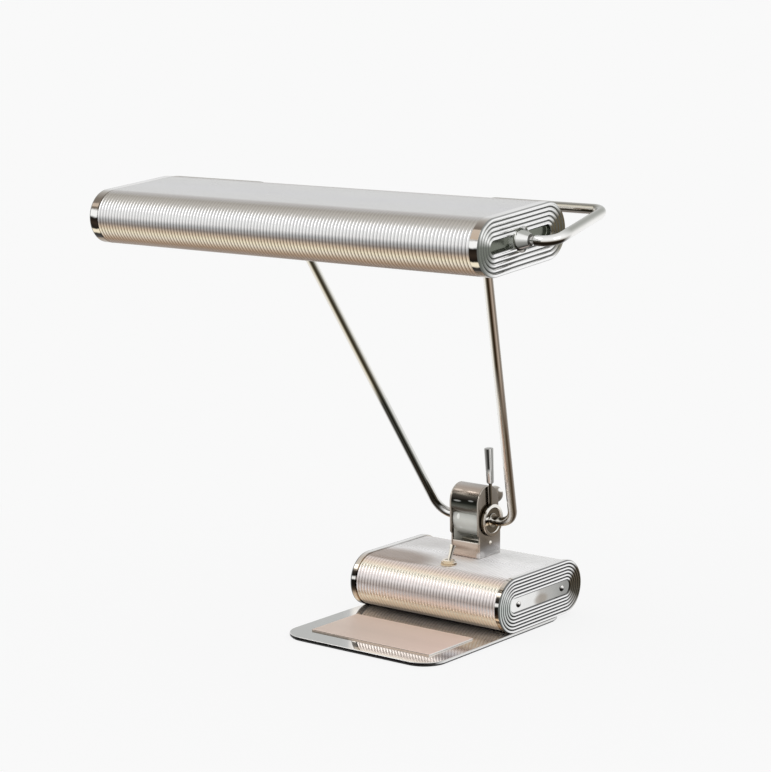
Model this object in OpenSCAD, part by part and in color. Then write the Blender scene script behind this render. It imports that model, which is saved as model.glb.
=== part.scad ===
// Accordion desk lamp, in millimetres. X runs along the shade, -Y is the front, +Z is up.
// The origin is on the surface that the lamp stands on, under the middle of the base housing.

/* [Base plate] */
// Thickness of the felt under the base plate
felt_t = 1; // [0.6:0.1:2]
// Width of the base plate, along X
plate_w = 177; // [165:1:190]
// Distance from the housing's middle to the base plate's front edge
plate_front = 178.5; // [165:0.5:190]
// Distance from the housing's middle to the base plate's rear edge
plate_rear = 46; // [44:1:60]
// Thickness of the base plate
plate_t = 3; // [2.5:0.1:4]
// Corner radius of the base plate
plate_corner = 25; // [6:1:30]

/* [Raised pad plate] */
// Width of the raised plate, along X
pad_w = 138; // [110:1:144]
// Depth of the raised plate, along Y
pad_d = 69; // [60:1:74]
// Thickness of the raised plate
pad_t = 1.5; // [1:0.1:3]
// Sideways offset of the raised plate
pad_shift = 0.5; // [0:0.5:8]
// Margin from the base plate's front edge to the raised plate
pad_margin = 24.5; // [16:0.5:30]
// Height of the raised plate's bevel
pad_bevel = 0.4; // [0.2:0.1:0.8]

/* [Ribs] */
// Spacing of the ribs along both ribbed shells
rib_pitch = 3.6; // [3.2:0.05:4]
// Height of a rib above its groove
rib_depth = 0.9; // [0.5:0.05:1.1]
// Wall of a ribbed shell under its grooves
shell_wall = 0.7; // [0.5:0.05:1]
// Thickness of the pressed end caps
cap_wall = 1.2; // [0.8:0.1:1.4]
// Depth that an end cap's spigot reaches into its shell
spigot_len = 5; // [3:0.5:7]

/* [Base housing] */
// Depth of the housing, along Y
housing_d = 140; // [134:1:146]
// Height of the housing
housing_h = 53; // [51:0.5:56]
// Number of ribs on the housing
housing_ribs = 46; // [40:1:48]
// Width of the smooth band at each end of the housing
housing_band = 6.4; // [5.5:0.1:8]
// Height that a housing end cap stands proud of the ribs
cap_proud = 1; // [0.4:0.1:1.4]
// Number of ringed ridges on a housing end cap
housing_rings = 6; // [4:1:7]
// Height of the flat middle of a housing end cap
housing_flat = 14; // [12:0.5:18]
// Distance of a tie rod from the end of the housing's flat part
rod_inset = 6.5; // [5:0.5:10]
// Diameter of a tie rod
rod_dia = 6; // [5:0.5:7]

/* [Hinge bracket] */
// Outside width of the bracket, along X
bracket_w = 34.5; // [30:0.5:36]
// Thickness of the bracket's plates
bracket_t = 2; // [1.5:0.1:2.5]
// Depth of the bracket's foot, along Y
bracket_d = 34.5; // [30:0.5:37]
// Distance from the housing's middle back to the bracket's front wall
bracket_y = -0.5; // [-2:0.5:3]
// Height of the bracket's front wall
wall_h = 15.3; // [10:0.1:16]
// Height of the yoke's pivot above the housing
pivot_h = 36.4; // [35:0.1:38]
// Distance from the housing's middle back to the yoke's pivot
pivot_y = 15.5; // [14:0.5:18]
// Radius of the pivot barrel
barrel_r = 17; // [15:0.1:17.5]
// Radius of the bracket's rounded top
lobe_r = 17.2; // [16:0.1:18]
// Height of the rounded top's middle above the pivot
lobe_rise = 16.9; // [15:0.1:18]
// Distance of the rounded top's middle forward of the pivot
lobe_front = 2.3; // [0:0.1:3]
// Radius of the domed tension knob
knob_r = 8.6; // [7:0.1:10]
// Distance from the bracket's rounded top back to the knob's middle
knob_reach = 17.6; // [12:0.1:20]
// Height of the knob's middle above the rounded top's middle
knob_rise = 0.5; // [0:0.1:3]

/* [Lock] */
// Radius of the dished lock collar
lock_r = 16; // [14:0.5:17]
// Thickness of the lock collar
lock_t = 4.7; // [4.2:0.1:5.5]
// Height of the lever's tip above the pivot
lever_len = 72.6; // [60:0.2:80]
// Radius of the lever's grip near its tip
lever_r = 4.6; // [3.6:0.1:5]
// Forward lean of the lever at rest
lever_lean = 5; // [0:0.5:10]

/* [Yoke] */
// Outside diameter of the yoke's tube
tube_dia = 9; // [8:0.1:9.5]
// Wall of the yoke's tube
tube_wall = 1.1; // [0.8:0.1:1.3]
// Distance from the pivot to the yoke's rear run
arm_len = 366.2; // [340:0.1:390]
// Forward lean of the arms at rest
arm_lean = 26.35; // [20:0.05:32]
// Half the distance between the arms at the pivot's axis
arm_foot = 44; // [43:0.5:50]
// Sideways set of the arms' feet, to the right
foot_shift = 1.6; // [0:0.1:2]
// Angle at which each arm splays outwards
arm_splay = 11.4; // [9:0.2:13]
// Bend radius of the tube beside the barrel
elbow_r = 21; // [18:0.5:22]
// Bend radius of the tube at the rear run
shoulder_r = 22; // [16:0.5:26]
// Bend radius of the tube's hook round the shade's end
hook_r = 12; // [10:0.5:13]
// Distance from the rear run to the shade's axis
hook_back = 81; // [79:0.5:90]
// Angle at which the hook rises behind the shade
hook_rise = 14.2; // [8:0.1:20]
// Clear space from the end cap to the hook's tube
hook_gap = 25; // [20:0.5:34]

/* [Shade] */
// Depth of the shade, from front to back
shade_d = 127; // [124:1:130]
// Height of the shade
shade_h = 49; // [48:0.5:52]
// Number of ribs on the shade
shade_ribs = 115; // [109:2:119]
// Width of the smooth band at each end of the shade
shade_band = 10.2; // [8:0.1:12]
// Distance that the end cap's rings step in from the rim to the slot
shade_dish = 1.5; // [0:0.1:2]
// Tilt of the shade at rest
shade_tilt = 5.1; // [0:0.1:10]
// Number of ringed ridges on a shade end cap
shade_rings = 5; // [4:1:6]
// Height of the recessed slot in a shade end cap
slot_h = 10; // [9:0.5:12]
// Depth of the recessed slot
slot_depth = 5.2; // [3:0.1:5.4]
// Width of the opening under the shade
mouth_w = 68; // [60:1:72]
// Distance from each end of the ribbed shell to the opening
mouth_margin = 9; // [8:0.5:14]
// Diameter of a pivot stud
stud_dia = 7.2; // [6.4:0.1:7.6]
// Radius of a cone ferrule's wide end
cone_r = 10; // [8:0.5:11]
// Length of a cone ferrule
cone_len = 12; // [9:0.5:14]

/* [Lamps] */
// Diameter of a tubular bulb
bulb_dia = 30; // [25:1:32]
// Length of a tubular bulb's glass
bulb_len = 122; // [100:1:130]
// Radius of a lamp socket
socket_r = 17.5; // [17:0.1:18]
// Length of a lamp socket
socket_len = 42; // [36:1:46]

/* [Toggle switch] */
// Distance from the housing's middle forward to the toggle switch
toggle_front = 36; // [34:0.5:38]
// Sideways offset of the toggle switch
toggle_shift = 5.5; // [0:0.5:7]
// Diameter of the switch's washer
washer_dia = 16; // [14:0.5:17]
// Length of the toggle's bat above its pivot
bat_len = 17.5; // [16:0.5:22]
// Tilt of the bat at rest
bat_tilt = 24; // [8:1:25]

/* [Hidden] */
$fn = 64;
fit = 0.05;        // radial clearance of a running fit
gap = 0.3;         // clearance between bodies that move past each other
rib_flank = 0.3;   // share of the pitch that a rib's flank takes
ridge_steps = 5;   // facets across one ringed ridge
hidden_screw_r = 2;
bury = 0.6;
bend_swell = 0.03;

plate_top = felt_t + plate_t;
housing_r = housing_h / 2;
housing_z = plate_top + housing_r;
shell_r = housing_r - cap_proud;
housing_top = housing_z + shell_r;
housing_span = housing_d - housing_h;
housing_half = housing_ribs * rib_pitch / 2;
housing_inner = shell_r - rib_depth - shell_wall;
housing_floor = housing_z - housing_inner;
housing_ceiling = housing_z + housing_inner;
ridge_h = 1.5;

ballast_room = 11.8;
ballast_h = 2 * housing_inner - ballast_room;
ballast_near = 24;
ballast_far = housing_half - spigot_len - 2;
ballast_half_d = housing_span / 2;
plate_screw_x = (ballast_near + ballast_far) / 2;
plate_screw_inset = 18.5;
plate_screw_y = ballast_half_d - plate_screw_inset;
plate_screw_len = 14;
cap_screw_r = 1.6;
cap_screw_len = 9;
rod_end = housing_half + housing_band - ridge_h - cap_wall;
grommet_r = 5;
grommet_bore = 3.2;
grommet_flange = 7;
terminal = [36, 20, 17];
terminal_hole_r = 2.2;
rod_y = housing_span / 2 - rod_inset;

pivot_z = housing_top + pivot_h;
lobe_y = pivot_y - lobe_front;
lobe_z = pivot_z + lobe_rise;
plate_in = bracket_w / 2 - bracket_t;
bracket_mid_y = bracket_y + bracket_d / 2;
bracket_screw_x = 8;
bracket_screw_y = 9;
wire_r = 3.5;
backing_w = 36;
backing_t = 2.5;
bracket_nut_h = 2.6;
pin_r = 1.4;
pin_h = 13.2;
knob_z = lobe_z + knob_rise;
knob_y = lobe_y + lobe_r + knob_reach;
flare = 2.5;
flare_drop = 13;
tension_r = 2.5;
tension_drop = knob_z - tension_r - pivot_z;
tension_tip_y = pivot_y + sqrt(max(1, pow(barrel_r + 1, 2) - pow(tension_drop, 2)));

collar_rim = 3.4;
lever_shank_r = 1.7;
barrel_gap = 4;

tube_r = tube_dia / 2;
tube_bore = tube_r - tube_wall;
rear_y = pivot_y - arm_len * sin(arm_lean);
rear_z = pivot_z + arm_len * cos(arm_lean);
axis_y = rear_y - hook_back * cos(hook_rise);
axis_z = rear_z - hook_back * sin(hook_rise);
arm_top = arm_foot + arm_len * tan(arm_splay);

shade_r = shade_h / 2;
shade_span = shade_d - shade_h;
shade_half = shade_ribs * rib_pitch / 2;
shade_end = shade_half + shade_band;
shade_inner = shade_r - rib_depth - shell_wall;
hook_x = shade_end + hook_gap + tube_r;
slot_floor = shade_band - shade_dish - slot_depth;
seat_r = cone_r + 1;

stud_r = stud_dia / 2;
bush_r = 7;
bush_len = 7.5;
bush_x = shade_half + slot_floor - cap_wall - bush_len;
nut_len = 3;
cone_x = shade_half + slot_floor + gap;
neck_x = cone_x + cone_len;
tube_end_x = neck_x + 4.5;
stud_tip_x = bush_x - gap - nut_len - 1;

bridge_t = 4;
bridge_half_d = 17;
bridge_foot = 24;
rivet_r = 1.5;
rivet_x = 8;
rivet_y = 12;
reflector_t = 0.8;
reflector_half = shade_half - spigot_len - 3;
bulb_r = bulb_dia / 2;
bulb_base_r = 13;
bulb_base_len = 24;
socket_mouth = bridge_t / 2 + socket_len;
glass_x = socket_mouth + 2;
glass_wall = 1;

toggle_y = -toggle_front;
bat_ball_r = 3;
switch_w = 22;
switch_d = 14;
switch_h = housing_inner - rod_dia / 2 - 2;
bushing_r = 6;
toggle_z = housing_top + 2;
washer_t = 1;
switch_nut_h = 2.5;

// Shared shapes

// A cylinder along X, from x0 to x1
module bar_x(x0, x1, r) {
    translate([x0, 0, 0]) rotate([0, 90, 0]) cylinder(h = x1 - x0, r = r);
}

// A cylinder along X that narrows from r0 to r1
module taper_x(x0, x1, r0, r1) {
    translate([x0, 0, 0]) rotate([0, 90, 0]) cylinder(h = x1 - x0, r1 = r0, r2 = r1);
}

// A cylinder along Y, from y0 to y1
module bar_y(y0, y1, r) {
    translate([0, y1, 0]) rotate([90, 0, 0]) cylinder(h = y1 - y0, r = r);
}

module left_copy() {
    mirror([1, 0, 0]) children();
}

// Children given for the right side, with their mirror image on the left
module both_sides() {
    children();
    left_copy() children();
}

// A rectangle with round corners, centred
module round_rect(w, d, r) {
    square([w - 2 * r, d], center = true);
    square([w, d - 2 * r], center = true);
    for (sx = [-1, 1], sy = [-1, 1])
        translate([sx * (w / 2 - r), sy * (d / 2 - r)]) circle(r);
}

// Sweeps a profile of [distance from the spine, x] points round a flat stadium.
// The spine is a line of length span along Y, through the origin.
module stadium_sweep(span, profile) {
    for (side = [0, 1]) {
        mirror([0, side, 0])
            translate([0, span / 2, 0])
                rotate([0, 90, 0]) rotate_extrude(angle = 180) polygon(profile);
        mirror([0, 0, side])
            translate([0, -span / 2, 0])
                rotate([-90, 0, 0]) rotate([0, 0, -90])
                    linear_extrude(height = span) polygon(profile);
    }
}

// The ribbed outside of a shell, from its left end to its right end
function rib_line(n, r) = [
    for (i = [0 : n - 1], k = [0 : 2])
        [k == 0 ? r - rib_depth : r,
         (i - n / 2 + [0, rib_flank, 1 - rib_flank][k]) * rib_pitch],
    [r - rib_depth, n / 2 * rib_pitch]];

module ribbed_shell(span, n, r) {
    inner = r - rib_depth - shell_wall;
    half = n / 2 * rib_pitch;
    stadium_sweep(span, concat(rib_line(n, r), [[inner, half], [inner, -half]]));
}

// The rounded ridges of an end cap, from the rim towards the middle, which lies dish lower
function ridge_line(n, r_out, r_in, x, dish) = [
    for (k = [0 : n - 1], j = [0 : ridge_steps - 1])
        let (way_in = (k + j / ridge_steps) / n)
            [r_out - way_in * (r_out - r_in),
             x - way_in * dish + ridge_h * sin(180 * j / ridge_steps)],
    [r_in, x - dish]];

// A pressed end cap at x = 0, facing +X, with its spigot reaching to -X.
// The middle, within r_in of the spine, lies at x = floor_x.
module end_cap(span, r, inner, band, n, r_in, floor_x, dish = 0) {
    groove = band - ridge_h;
    back = groove - cap_wall;
    spigot = inner - fit;
    stadium_sweep(span, concat(
        [[0, floor_x - cap_wall], [r_in + cap_wall, floor_x - cap_wall],
         [r_in + cap_wall, back - dish], [r - cap_wall, back], [r - cap_wall, cap_wall],
         [spigot - cap_wall, cap_wall], [spigot - cap_wall, -spigot_len],
         [spigot, -spigot_len], [spigot, 0], [r, 0]],
        ridge_line(n, r, r_in, groove, dish),
        [[r_in, floor_x], [0, floor_x]]));
}

// A low domed screw head standing on z = 0
module dome_head(r, h) {
    ball = (r * r + h * h) / (2 * h);
    intersection() {
        translate([0, 0, h - ball]) sphere(ball);
        cylinder(h = h, r = r);
    }
}

// A tube is drawn as its bender makes it: each straight run or bend starts at the origin
// along +X, and hands its far end on to the next one. A bend's wall is a hair thicker than
// a run's, and the run's ends are buried in it by bury.

module run(length, from = bury, to = bury) {
    difference() {
        bar_x(-from, length + to, tube_r);
        bar_x(-from - 1, length + to + 1, tube_bore);
    }
    translate([length, 0, 0]) children();
}

// A bend of radius r towards +Z, or towards -Z with way = -1
module bend(r, angle, way = 1) {
    mirror([0, 0, way < 0 ? 1 : 0])
        translate([0, 0, r]) rotate([90, 0, 0]) rotate([0, 0, -90])
            rotate_extrude(angle = angle) translate([r, 0]) difference() {
                circle(tube_r + bend_swell);
                circle(tube_bore - bend_swell);
            }
    translate([r * sin(angle), 0, way * r * (1 - cos(angle))])
        rotate([0, -way * angle, 0]) children();
}

module at_shade() {
    translate([0, axis_y, axis_z]) rotate([shade_tilt, 0, 0]) children();
}

module at_pivot() {
    translate([0, pivot_y, pivot_z]) children();
}

// Base plate and what it carries

module base_felt() {
    mid = (plate_rear - plate_front) / 2;
    color("darkslategray") translate([0, mid, 0])
        linear_extrude(height = felt_t)
            round_rect(plate_w - 3, plate_front + plate_rear - 3, plate_corner - 1.5);
}

module plate_screw_places() {
    for (x = [-1, 1] * plate_screw_x, y = [-1, 1] * plate_screw_y)
        translate([x, y, 0]) children();
}

module base_plate() {
    mid = (plate_rear - plate_front) / 2;
    color("silver") difference() {
        translate([0, mid, felt_t]) linear_extrude(height = plate_t)
            round_rect(plate_w, plate_front + plate_rear, plate_corner);
        plate_screw_places() {
            cylinder(h = plate_top + 1, r = hidden_screw_r + fit);
            translate([0, 0, felt_t - 1]) cylinder(h = 3, r = 4);
        }
    }
}

module plate_screws() {
    color("gray") plate_screw_places() {
        translate([0, 0, felt_t]) cylinder(h = 2, r = 3.8);
        translate([0, 0, felt_t]) cylinder(h = plate_screw_len, r = hidden_screw_r);
    }
}

// A bevelled block: the bevel runs round its top edge
module pad_plate() {
    y = -plate_front + pad_margin + pad_d / 2;
    color("tan") translate([pad_shift, y, plate_top]) intersection() {
        rotate([90, 0, 0]) linear_extrude(height = pad_d, center = true)
            bevelled_end(pad_w);
        rotate([90, 0, 90]) linear_extrude(height = pad_w, center = true)
            bevelled_end(pad_d);
    }
}

module bevelled_end(w) {
    polygon([[-w / 2, 0], [w / 2, 0], [w / 2, pad_t - pad_bevel],
        [w / 2 - pad_bevel, pad_t], [-w / 2 + pad_bevel, pad_t],
        [-w / 2, pad_t - pad_bevel]]);
}

// Housing

module at_housing() {
    translate([0, 0, housing_z]) children();
}

module housing_shell() {
    color("silver") difference() {
        at_housing() ribbed_shell(housing_span, housing_ribs, shell_r);
        plate_screw_places() cylinder(h = housing_z, r = hidden_screw_r + fit);
        bracket_screw_places()
            translate([0, 0, housing_z]) cylinder(h = housing_h, r = hidden_screw_r + fit);
        translate([0, bracket_mid_y, housing_z]) cylinder(h = housing_h, r = wire_r);
        translate([toggle_shift, toggle_y, housing_z])
            cylinder(h = housing_h, r = bushing_r + fit);
        at_housing() bar_y(0, housing_d, grommet_r + fit);
    }
}

module housing_cap(hand) {
    groove = housing_band - ridge_h;
    color("gainsboro") difference() {
        translate([hand * housing_half, 0, housing_z]) mirror([hand < 0 ? 1 : 0, 0, 0])
            end_cap(housing_span, housing_r, housing_inner, housing_band,
                housing_rings, housing_flat / 2, groove);
        for (y = [-rod_y, rod_y])
            translate([0, y, housing_z])
                bar_x(-housing_half - housing_band, housing_half + housing_band,
                    cap_screw_r + fit);
    }
}

module housing_cap_left() {
    housing_cap(-1);
}

module housing_cap_right() {
    housing_cap(1);
}

module cap_screws() {
    face = rod_end + cap_wall;
    color("white") at_housing() both_sides() for (y = [-rod_y, rod_y])
        translate([0, y, 0]) {
            bar_x(face - cap_screw_len, face, cap_screw_r);
            translate([face, 0, 0]) rotate([0, 90, 0]) dome_head(3.1, 2);
        }
}

module tie_rods() {
    color("gray") at_housing() for (y = [-rod_y, rod_y]) translate([0, y, 0])
        difference() {
            bar_x(-rod_end, rod_end, rod_dia / 2);
            both_sides() bar_x(rod_end - cap_screw_len, rod_end + 1, cap_screw_r + fit);
        }
}

module ballast() {
    color("dimgray") difference() {
        translate([ballast_near, -ballast_half_d, housing_floor])
            cube([ballast_far - ballast_near, 2 * ballast_half_d, ballast_h]);
        for (y = [-rod_y, rod_y]) translate([0, y, housing_z])
            bar_x(0, housing_half, rod_dia / 2 + fit);
        plate_screw_places()
            cylinder(h = felt_t + plate_screw_len + 2, r = hidden_screw_r + fit);
    }
}

module ballast_right() {
    ballast();
}

module ballast_left() {
    left_copy() ballast();
}

module cord_grommet() {
    inside = housing_span / 2 + sqrt(pow(housing_inner, 2) - pow(grommet_flange, 2));
    outside = housing_span / 2 + shell_r;
    color("black") at_housing() difference() {
        union() {
            bar_y(inside - 2, inside, grommet_flange);
            bar_y(inside - 2, outside + 2, grommet_r);
            bar_y(outside, outside + 2, grommet_flange);
        }
        bar_y(inside - 3, outside + 3, grommet_bore);
    }
}

module terminal_block() {
    color("ivory") difference() {
        translate([-terminal.x / 2, -2 - terminal.y / 2, housing_floor]) cube(terminal);
        for (k = [-1.5 : 1.5])
            translate([k * terminal.x / 4.5, -2, housing_floor + terminal.z / 2])
                cylinder(h = terminal.z, r = terminal_hole_r);
    }
}

// Bracket

module bracket_screw_places() {
    for (x = [-1, 1] * bracket_screw_x, y = [-1, 1] * bracket_screw_y)
        translate([x, bracket_mid_y + y, 0]) children();
}

// Outline of a side plate, drawn with y across and z up
module side_plate_outline() {
    foot = housing_top;
    front = bracket_y;
    rear = bracket_y + bracket_d;
    polygon([[front, foot], [rear, foot], [rear, pivot_z - 7], [lobe_y + lobe_r, pivot_z + 6],
        [lobe_y + lobe_r, lobe_z], [lobe_y - lobe_r, lobe_z],
        [front - flare, pivot_z - flare_drop], [front, pivot_z - flare_drop - flare]]);
    translate([lobe_y, lobe_z]) circle(lobe_r);
}

module bracket() {
    rear = bracket_y + bracket_d;
    color("lightgray") difference() {
        union() {
            both_sides() translate([plate_in, 0, 0]) rotate([90, 0, 90])
                linear_extrude(height = bracket_t) side_plate_outline();
            translate([-plate_in, bracket_y, housing_top])
                cube([2 * plate_in, bracket_d, bracket_t]);
            translate([-plate_in, bracket_y, housing_top])
                cube([2 * plate_in, bracket_t, wall_h]);
            translate([-plate_in, rear - bracket_t, housing_top])
                cube([2 * plate_in, bracket_t, wall_h + 8]);
        }
        at_pivot() bar_x(-bracket_w, bracket_w, tube_r + fit);
        translate([0, bracket_mid_y, housing_top + pin_h])
            bar_x(-bracket_w, bracket_w, pin_r + fit);
        translate([0, bracket_mid_y, housing_top - 1]) cylinder(h = 5, r = wire_r);
        bracket_screw_places()
            translate([0, 0, housing_top - 1]) cylinder(h = 5, r = hidden_screw_r + fit);
    }
}

module backing_plate() {
    color("gray") difference() {
        translate([-backing_w / 2, bracket_y, housing_ceiling - backing_t])
            cube([backing_w, bracket_d, backing_t]);
        translate([0, bracket_mid_y, housing_z]) cylinder(h = housing_h, r = wire_r);
        bracket_screw_places()
            translate([0, 0, housing_z]) cylinder(h = housing_h, r = hidden_screw_r + fit);
    }
}

module bracket_screws() {
    low = housing_ceiling - backing_t - bracket_nut_h - 1;
    top = housing_top + bracket_t;
    color("gray") bracket_screw_places() {
        translate([0, 0, low]) cylinder(h = top - low, r = hidden_screw_r);
        translate([0, 0, top]) dome_head(3.6, 2);
    }
}

module bracket_nuts() {
    low = housing_ceiling - backing_t - bracket_nut_h;
    color("gray") bracket_screw_places() translate([0, 0, low]) difference() {
        cylinder(h = bracket_nut_h, r = 3.8, $fn = 6);
        translate([0, 0, -1]) cylinder(h = 5, r = hidden_screw_r + fit);
    }
}

// The block between the side plates, hollowed underneath to clear the barrel
module brake_shoe() {
    color("rosybrown") difference() {
        translate([0, lobe_y, lobe_z]) bar_x(-plate_in, plate_in, lobe_r);
        at_pivot() bar_x(-bracket_w, bracket_w, barrel_r + gap);
        translate([0, 0, knob_z]) bar_y(tension_tip_y - 0.5, knob_y, tension_r + fit);
    }
}

module cross_pin() {
    color("white") translate([0, bracket_mid_y, housing_top + pin_h]) {
        bar_x(-bracket_w / 2, bracket_w / 2, pin_r);
        both_sides() translate([bracket_w / 2, 0, 0]) rotate([0, 90, 0]) dome_head(2.2, 1);
    }
}

// Tension knob behind the shoe

module tension_knob() {
    neck_y = lobe_y + lobe_r + gap;
    color("silver") translate([0, 0, knob_z]) difference() {
        union() {
            intersection() {
                translate([0, knob_y, 0]) sphere(knob_r);
                bar_y(knob_y - knob_r + 1.5, knob_y + knob_r, knob_r);
            }
            bar_y(neck_y, knob_y, knob_r / 2);
        }
        bar_y(neck_y - 1, knob_y + 1, tension_r + fit);
    }
}

module tension_screw() {
    color("gray") translate([0, 0, knob_z]) bar_y(tension_tip_y, knob_y + 1, tension_r);
}

// Lock collar and lever

module lock_collar() {
    face = bracket_w / 2 + gap;
    mid_x = face + lock_t / 2;
    color("gainsboro") at_pivot() difference() {
        bar_x(face, face + lock_t, lock_r);
        bar_x(face - 1, face + lock_t + 1, tube_r + fit);
        difference() {
            bar_x(face + 2.9, face + lock_t + 1, lock_r - collar_rim);
            bar_x(face, face + lock_t - 0.5, tube_r + 2.5);
        }
        rotate([lever_lean, 0, 0]) translate([mid_x, 0, lock_r - collar_rim + 0.2])
            cylinder(h = collar_rim + 1, r = lever_shank_r + fit);
    }
}

module lock_lever() {
    mid_x = bracket_w / 2 + gap + lock_t / 2;
    grip = lobe_rise + lobe_r + 3;
    waist_r = 0.8 * lever_r;
    color("silver") at_pivot() rotate([lever_lean, 0, 0]) translate([mid_x, 0, 0]) {
        translate([0, 0, lock_r - collar_rim + 0.3])
            cylinder(h = grip - lock_r + collar_rim, r = lever_shank_r);
        translate([0, 0, grip]) cylinder(h = 1.5, r1 = waist_r - 0.9, r2 = waist_r);
        translate([0, 0, grip + 1.5])
            cylinder(h = lever_len - grip - 2, r1 = waist_r, r2 = lever_r);
        translate([0, 0, lever_len - 0.5]) cylinder(h = 0.5, r1 = lever_r, r2 = lever_r - 0.5);
    }
}

// Yoke

// One half of the tube, drawn to the right: out of the barrel, up the arm, along the rear
// run, then round the hook to the pivot stud. foot is where the arm's line meets the pivot's axis.
module yoke_tube(foot) {
    splay = atan((arm_top - foot) / arm_len);
    turn = 90 - splay;
    foot_cut = elbow_r * tan(turn / 2);
    top_cut = shoulder_r * tan(turn / 2);
    at_pivot() rotate([arm_lean, 0, 0]) translate([barrel_gap, 0, 0])
        run(foot - foot_cut - barrel_gap, from = 0)
        bend(elbow_r, turn)
        run(arm_len / cos(splay) - foot_cut - top_cut)
        bend(shoulder_r, turn, -1)
        run(hook_x - arm_top - hook_r - top_cut)
        rotate([90 + hook_rise - arm_lean, 0, 0])
        bend(hook_r, 90)
        run(hook_back - 2 * hook_r)
        bend(hook_r, 90)
        run(hook_x - hook_r - tube_end_x, to = 0);
}

module yoke_tube_right() {
    color("silver") yoke_tube(arm_foot + foot_shift);
}

module yoke_tube_left() {
    color("silver") left_copy() yoke_tube(arm_foot - foot_shift);
}

module pivot_barrel() {
    side = plate_in - gap;
    color("slategray") at_pivot() difference() {
        bar_x(-side, side, barrel_r);
        bar_x(-side - 1, side + 1, tube_r + fit);
        translate([0, 0, -barrel_r - 1]) cylinder(h = barrel_r, r = wire_r - 0.2);
        set_screw_places() bar_y(tube_r - 1, barrel_r + 1, hidden_screw_r + fit);
    }
}

module set_screw_places() {
    for (x = [-1, 1] * plate_in / 2) translate([x, 0, 0]) children();
}

module barrel_set_screws() {
    color("gray") at_pivot() set_screw_places()
        bar_y(tube_r + fit, barrel_r - 1.5, hidden_screw_r);
}

module left_collar() {
    face = bracket_w / 2 + gap;
    color("dimgray") at_pivot() difference() {
        bar_x(-face - 4, -face, 7);
        bar_x(-face - 5, -face + 1, tube_r + fit);
    }
}

module cone_ferrule() {
    rim_t = 1.6;
    color("gainsboro") at_shade() difference() {
        union() {
            bar_x(cone_x, cone_x + rim_t, cone_r);
            taper_x(cone_x + rim_t, neck_x, cone_r - 0.6, tube_r + 0.4);
        }
        bar_x(cone_x - 1, neck_x + 1, stud_r + fit);
    }
}

module cone_ferrule_right() {
    cone_ferrule();
}

module cone_ferrule_left() {
    left_copy() cone_ferrule();
}

module pivot_stud() {
    color("gray") at_shade() {
        bar_x(stud_tip_x, tube_end_x, stud_r);
        bar_x(tube_end_x, hook_x - hook_r, tube_bore - fit);
    }
}

module pivot_stud_right() {
    pivot_stud();
}

module pivot_stud_left() {
    left_copy() pivot_stud();
}

module stud_nut() {
    nut_x = bush_x - gap - nut_len;
    color("gray") at_shade() difference() {
        translate([nut_x, 0, 0]) rotate([0, 90, 0]) cylinder(h = nut_len, r = bush_r, $fn = 6);
        bar_x(nut_x - 1, nut_x + nut_len + 1, stud_r + fit);
    }
}

module stud_nut_right() {
    stud_nut();
}

module stud_nut_left() {
    left_copy() stud_nut();
}

// Shade

module shade_shell() {
    mouth_half = shade_half - mouth_margin;
    color("silver") at_shade() difference() {
        ribbed_shell(shade_span, shade_ribs, shade_r);
        translate([-mouth_half, -mouth_w / 2, -shade_h])
            cube([2 * mouth_half, mouth_w, shade_h]);
    }
}

// The cone ferrule sits in a round seat, as deep as the slot
module shade_cap() {
    seat_x = shade_half + slot_floor;
    color("gainsboro") at_shade() difference() {
        union() {
            translate([shade_half, 0, 0])
                end_cap(shade_span, shade_r, shade_inner, shade_band,
                    shade_rings, slot_h / 2, slot_floor, shade_dish);
            bar_x(seat_x - cap_wall, shade_end - ridge_h - shade_dish, seat_r + cap_wall);
        }
        bar_x(seat_x, shade_end + 1, seat_r);
        bar_x(bush_x, shade_end + 1, stud_r + fit);
    }
}

module shade_cap_right() {
    shade_cap();
}

module shade_cap_left() {
    left_copy() shade_cap();
}

module pivot_bush() {
    color("goldenrod") at_shade() difference() {
        bar_x(bush_x, bush_x + bush_len, bush_r);
        bar_x(bush_x - 1, bush_x + bush_len + 1, stud_r + fit);
    }
}

module pivot_bush_right() {
    pivot_bush();
}

module pivot_bush_left() {
    left_copy() pivot_bush();
}

// The reflector is a bent sheet that stands on the lips of the shade's mouth
module reflector() {
    top = shade_inner - 0.3;
    lip = mouth_w / 2 + 1;
    wide = shade_span / 2 + shade_inner * 0.7;
    crown = shade_span / 2 - 4;
    color("white") difference() {
        at_shade() rotate([90, 0, 90])
            linear_extrude(height = 2 * reflector_half, center = true) difference() {
                polygon([[lip, -top], [wide, -6], [wide, 6], [crown, top],
                    [-crown, top], [-wide, 6], [-wide, -6], [-lip, -top]]);
                polygon([[lip - reflector_t, -top - 1], [lip - reflector_t, -top + 0.3],
                    [wide - reflector_t, -5.8], [wide - reflector_t, 5.8],
                    [crown - 0.4, top - reflector_t], [-crown + 0.4, top - reflector_t],
                    [-wide + reflector_t, 5.8], [-wide + reflector_t, -5.8],
                    [-lip + reflector_t, -top + 0.3], [-lip + reflector_t, -top - 1]]);
            }
        at_shade() bridge_rivet_places() cylinder(h = shade_r, r = rivet_r + fit);
    }
}

module socket_bridge() {
    top = shade_inner - 0.3 - reflector_t;
    color("lightgray") at_shade() difference() {
        union() {
            translate([-bridge_foot / 2, -bridge_half_d, top - 2])
                cube([bridge_foot, 2 * bridge_half_d, 2]);
            translate([-bridge_t / 2, -bridge_half_d, -bridge_half_d])
                cube([bridge_t, 2 * bridge_half_d, bridge_half_d + top - 1]);
        }
        bridge_rivet_places() cylinder(h = shade_r, r = rivet_r + fit);
    }
}

module bridge_rivet_places() {
    for (x = [-1, 1] * rivet_x, y = [-1, 1] * rivet_y) translate([x, y, 0]) children();
}

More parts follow.
